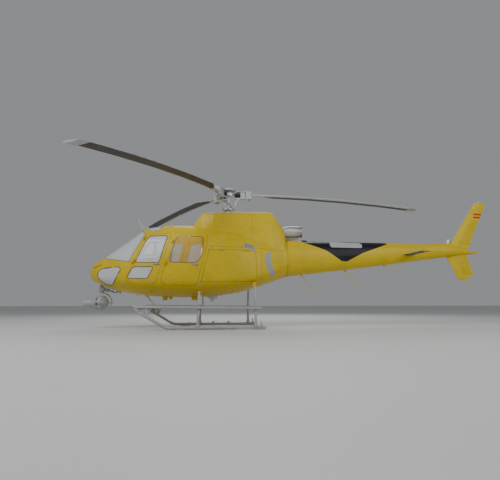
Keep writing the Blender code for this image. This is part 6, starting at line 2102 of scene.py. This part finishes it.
def dressSeat(name, node, shellSide, shellSpan, padSide, backSide, places, width, faceSpots):
    shell = plateFrom(name + "Shell", shellSide, shellSpan[0], shellSpan[1], 0.012)
    addPiece(name + "Shell", shell, innerGrey, "airframe", (node,))
    for n, middle in enumerate(places):
        low, high = middle - width / 2, middle + width / 2
        for kind, outline, spots, way in (("Seat", padSide, faceSpots[0], Vector((0, 0, -1))),
                                          ("Back", backSide, faceSpots[1], Vector((1, 0, -0.12)))):
            key = (outline, width)
            if key not in stuffedPads:
                stuffedPads[key] = stuffed("pad", outline, -width / 2, width / 2)
            mesh = shiftedMesh(stuffedPads[key], middle)
            tree = BVHTree.FromPolygons([v.co.copy() for v in mesh.vertices],
                                        [tuple(p.vertices) for p in mesh.polygons])
            piece = addPiece("%s%s_%d" % (name, kind, n + 1), mesh, seatCloth, "airframe")
            probe = padProbe(tree, way)
            edge, channels = sewnPaths(probe, spots, low + 0.02, high - 0.02)
            placeStrips("%s%sPiping_%d" % (name, kind, n + 1), [edge], pipingCloth, "airframe",
                        cushions["piping"], 8, "seat_cloth", closed=True)
            placeStrips("%s%sSeams_%d" % (name, kind, n + 1), channels, beltCloth, "airframe",
                        cushions["channel"], 6, "seat_cloth")
            belts = []
            (x0, z0), (x1, z1) = spots
            for y in (middle - 0.075, middle + 0.075) if kind == "Back" else (low + 0.05, high - 0.05):
                found = [probe(x0 + (x1 - x0) * t, y, z0 + (z1 - z0) * t)
                         for t in np.linspace(0.02, 0.98, 16)]
                found = [p - way.normalized() * 0.0015 for p in found if p is not None]
                if kind == "Seat":
                    found = found[len(found) // 2:]
                belts.append(strap("belt", found, (0, 0.046, 0), -0.0022))
            addJoined("%s%sBelts_%d" % (name, kind, n + 1), belts, 30, beltCloth, "airframe")
            buckle = probe(x0 + (x1 - x0) * 0.12, middle, z0 + (z1 - z0) * 0.12)
            if kind == "Back" and buckle is not None:
                mesh = lathe("buckle", buckle + Vector((0.004, 0, 0)), (-1, 0, 0.12),
                             ((0, 0.030), (0.008, 0.030), (0.012, 0.024), (0.013, 0.008)), 24)
                addPiece("%sBuckle_%d" % (name, n + 1), mesh, steel, "airframe")


stuffedPads = {}
shellSide = ((-1.935, 0.985), (-1.945, 1.195), (-1.60, 1.205), (-1.545, 1.27), (-1.475, 1.90), (-1.44, 1.935),
             (-1.465, 1.22), (-1.525, 0.985))
padSide = ((-1.940, 1.215), (-1.940, 1.290), (-1.915, 1.296), (-1.640, 1.272), (-1.600, 1.225))
backSide = ((-1.605, 1.295), (-1.530, 1.875), (-1.510, 1.925), (-1.485, 1.925), (-1.497, 1.80),
            (-1.555, 1.30))
for side, word in sides:
    dressSeat("seat_" + word, "seat_front_" + word, shellSide, sorted((side * 0.15, side * 0.59)), padSide,
              backSide,
              (side * 0.37,), 0.42, (((-1.925, 1.29), (-1.66, 1.275)), ((-1.60, 1.33), (-1.535, 1.90))))
benchShell = ((-1.19, 0.985), (-1.20, 1.195), (-0.87, 1.205), (-0.80, 1.27), (-0.735, 1.54), (-0.70, 1.575),
              (-0.675, 1.20), (-0.675, 0.985))
benchPad = ((-1.210, 1.215), (-1.210, 1.285), (-1.185, 1.296), (-0.900, 1.272), (-0.860, 1.225))
benchBack = ((-0.865, 1.295), (-0.800, 1.515), (-0.775, 1.565), (-0.745, 1.565), (-0.755, 1.50),
             (-0.815, 1.30))
dressSeat("bench", "rear_bench", benchShell, (-0.71, 0.71), benchPad, benchBack, (-0.475, 0.0, 0.475), 0.445,
          (((-1.195, 1.29), (-0.92, 1.275)), ((-0.86, 1.32), (-0.81, 1.53))))
print("seats done")

# cockpit: floor mat, screens, dials, sticks, levers and pedals
cockpit = dict(stick=((-2.16, 0.985), (-2.13, 1.10), (-2.05, 1.33), (-2.06, 1.46)),
               lever=((-1.66, 1.02), (-1.86, 1.16), (-2.02, 1.30)))
addPiece("floorMat", blockMesh("mat", at(-1.43, 0, 0.9845), (1.45, 1.12, 0.006), bevel=0.002), floorMat,
         "airframe")
face = Vector((0.965, 0, 0.262)).normalized()
panelUp = Vector((-face.z, 0, face.x))
panelPlace = at(-2.470, 0, 1.585)
bezels, glows, dials, knobs = [], [], [], []
for y, wide, tall in ((-0.245, 0.175, 0.135), (0.0, 0.205, 0.155), (0.245, 0.175, 0.135)):
    spot = panelPlace + Vector((0, y, 0)) + face * 0.004
    bezels.append(blockMesh("bezel", spot, (0.008, wide, tall), face, panelUp, 0.003))
    glows.append(blockMesh("glow", spot + face * 0.0045, (0.003, wide * 0.86, tall * 0.82), face,
                           panelUp, 0.001))
for y in (-0.30, -0.19, -0.08, 0.08, 0.19, 0.30):
    spot = panelPlace + Vector((0, y, 0)) + panelUp * -0.112
    dials.append(lathe("dial", spot, face, ((0, 0.030), (0.006, 0.030), (0.008, 0.026), (0.006, 0.025)), 24))
for y in np.linspace(-0.33, 0.33, 12):
    knobs.append((panelPlace + Vector((0, y, 0)) + panelUp * 0.100, face,
                  Vector((0, 1, 0)), (1, 1, 1)))
addJoined("screenBezels", bezels, 40, plateGrey, "airframe")
addJoined("screenFaces", glows, 40, screenFace, "airframe")
addJoined("dials", dials, 40, innerGrey, "airframe")
placeStuds("panelKnobs", knobs, plateGrey, "airframe", 0.008, 0.012, 12, "dark_panel")
sticks, grips, pedals = [], [], []
for y in (-0.37, 0.37):
    sticks.append([at(x, y, z) for x, z in cockpit["stick"]])
    grips.append(lathe("grip", at(-2.052, y, 1.355), (-0.05, 0, 0.5),
                       ((0, 0.014), (0.010, 0.019), (0.05, 0.016), (0.105, 0.021), (0.13, 0.014)), 18))
    for dy in (-0.09, 0.09):
        pedals.append(blockMesh("pedal", at(-2.315, y + dy, 1.13), (0.016, 0.075, 0.115), (1, 0, 0.35),
                                (-0.35, 0, 1), 0.004))
        pedals.append(blockMesh("pedalArm", at(-2.30, y + dy, 1.035), (0.014, 0.018, 0.10), (1, 0, 0.1),
                                (-0.1, 0, 1), 0.002))
for y in (-0.645, 0.10):
    sticks.append([at(x, y, z) for x, z in cockpit["lever"]])
    grips.append(lathe("leverGrip", at(-1.93, y, 1.222), (-0.16, 0, 0.13),
                       ((0, 0.014), (0.01, 0.018), (0.10, 0.018), (0.12, 0.014)), 18))
placeStrips("sticks", sticks, innerGrey, "airframe", 0.011, 12, "dark_panel")
addJoined("controlGrips", grips, 40, darkPaintAndShade, "airframe")
addJoined("pedals", pedals, 40, steel, "airframe")
print("cockpit done")


# floor, sky and lamps
studio = dict(floor=(0.62, 0.62, 0.61), reach=90.0, sky=(0.80, 0.82, 0.85), strength=0.34, cabin=19.0)


def floorFinish():
    made, tree, shader = startMaterial("paleFloor", studio["floor"], 0.7)
    noise = shaderNoise(tree, objectPlace(tree), 0.8, 4.0, 0.5)
    pale = tuple(c * 0.97 for c in studio["floor"])
    tree.links.new(shaderMix(tree, noise, pale, studio["floor"]), shader.inputs["Base Color"])
    return made


floorMesh = meshFrom("floor", [
    (-studio["reach"], -studio["reach"], 0), (studio["reach"], -studio["reach"], 0),
    (studio["reach"], studio["reach"], 0), (-studio["reach"], studio["reach"], 0)], [(0, 1, 2, 3)])
floorMesh.materials.append(floorFinish())
floor = bpy.data.objects.new("floor", floorMesh)
scene.collection.objects.link(floor)

world = scene.world or bpy.data.worlds.new("studioSky")
scene.world = world
world.use_nodes = True
sky = world.node_tree.nodes["Background"]
sky.inputs["Color"].default_value = (*studio["sky"], 1.0)
sky.inputs["Strength"].default_value = studio["strength"]

lamps = (
    ("keyLamp", (-7.0, -9.0, 11.0), 9.0, 1150.0),
    ("fillLamp", (9.0, -10.0, 7.0), 9.0, 480.0),
    ("backLamp", (2.0, 10.0, 9.0), 9.0, 620.0),
)
for name, place, size, power in lamps:
    data = bpy.data.lights.new(name, "AREA")
    data.size = size
    data.energy = power
    lamp = bpy.data.objects.new(name, data)
    lamp.location = Vector(place) + at(0, 0, 0)
    lamp.rotation_euler = (at(0, 0, 1.6) - lamp.location).to_track_quat("-Z", "Y").to_euler()
    scene.collection.objects.link(lamp)

# a soft lamp in the cabin roof, so that the far panes show pale through the near ones
data = bpy.data.lights.new("cabinLamp", "POINT")
data.energy = studio["cabin"]
data.shadow_soft_size = 0.22
cabinLamp = bpy.data.objects.new("cabinLamp", data)
cabinLamp.location = at(-1.05, -0.30, 2.12)
cabinLamp.visible_camera = False
scene.collection.objects.link(cabinLamp)
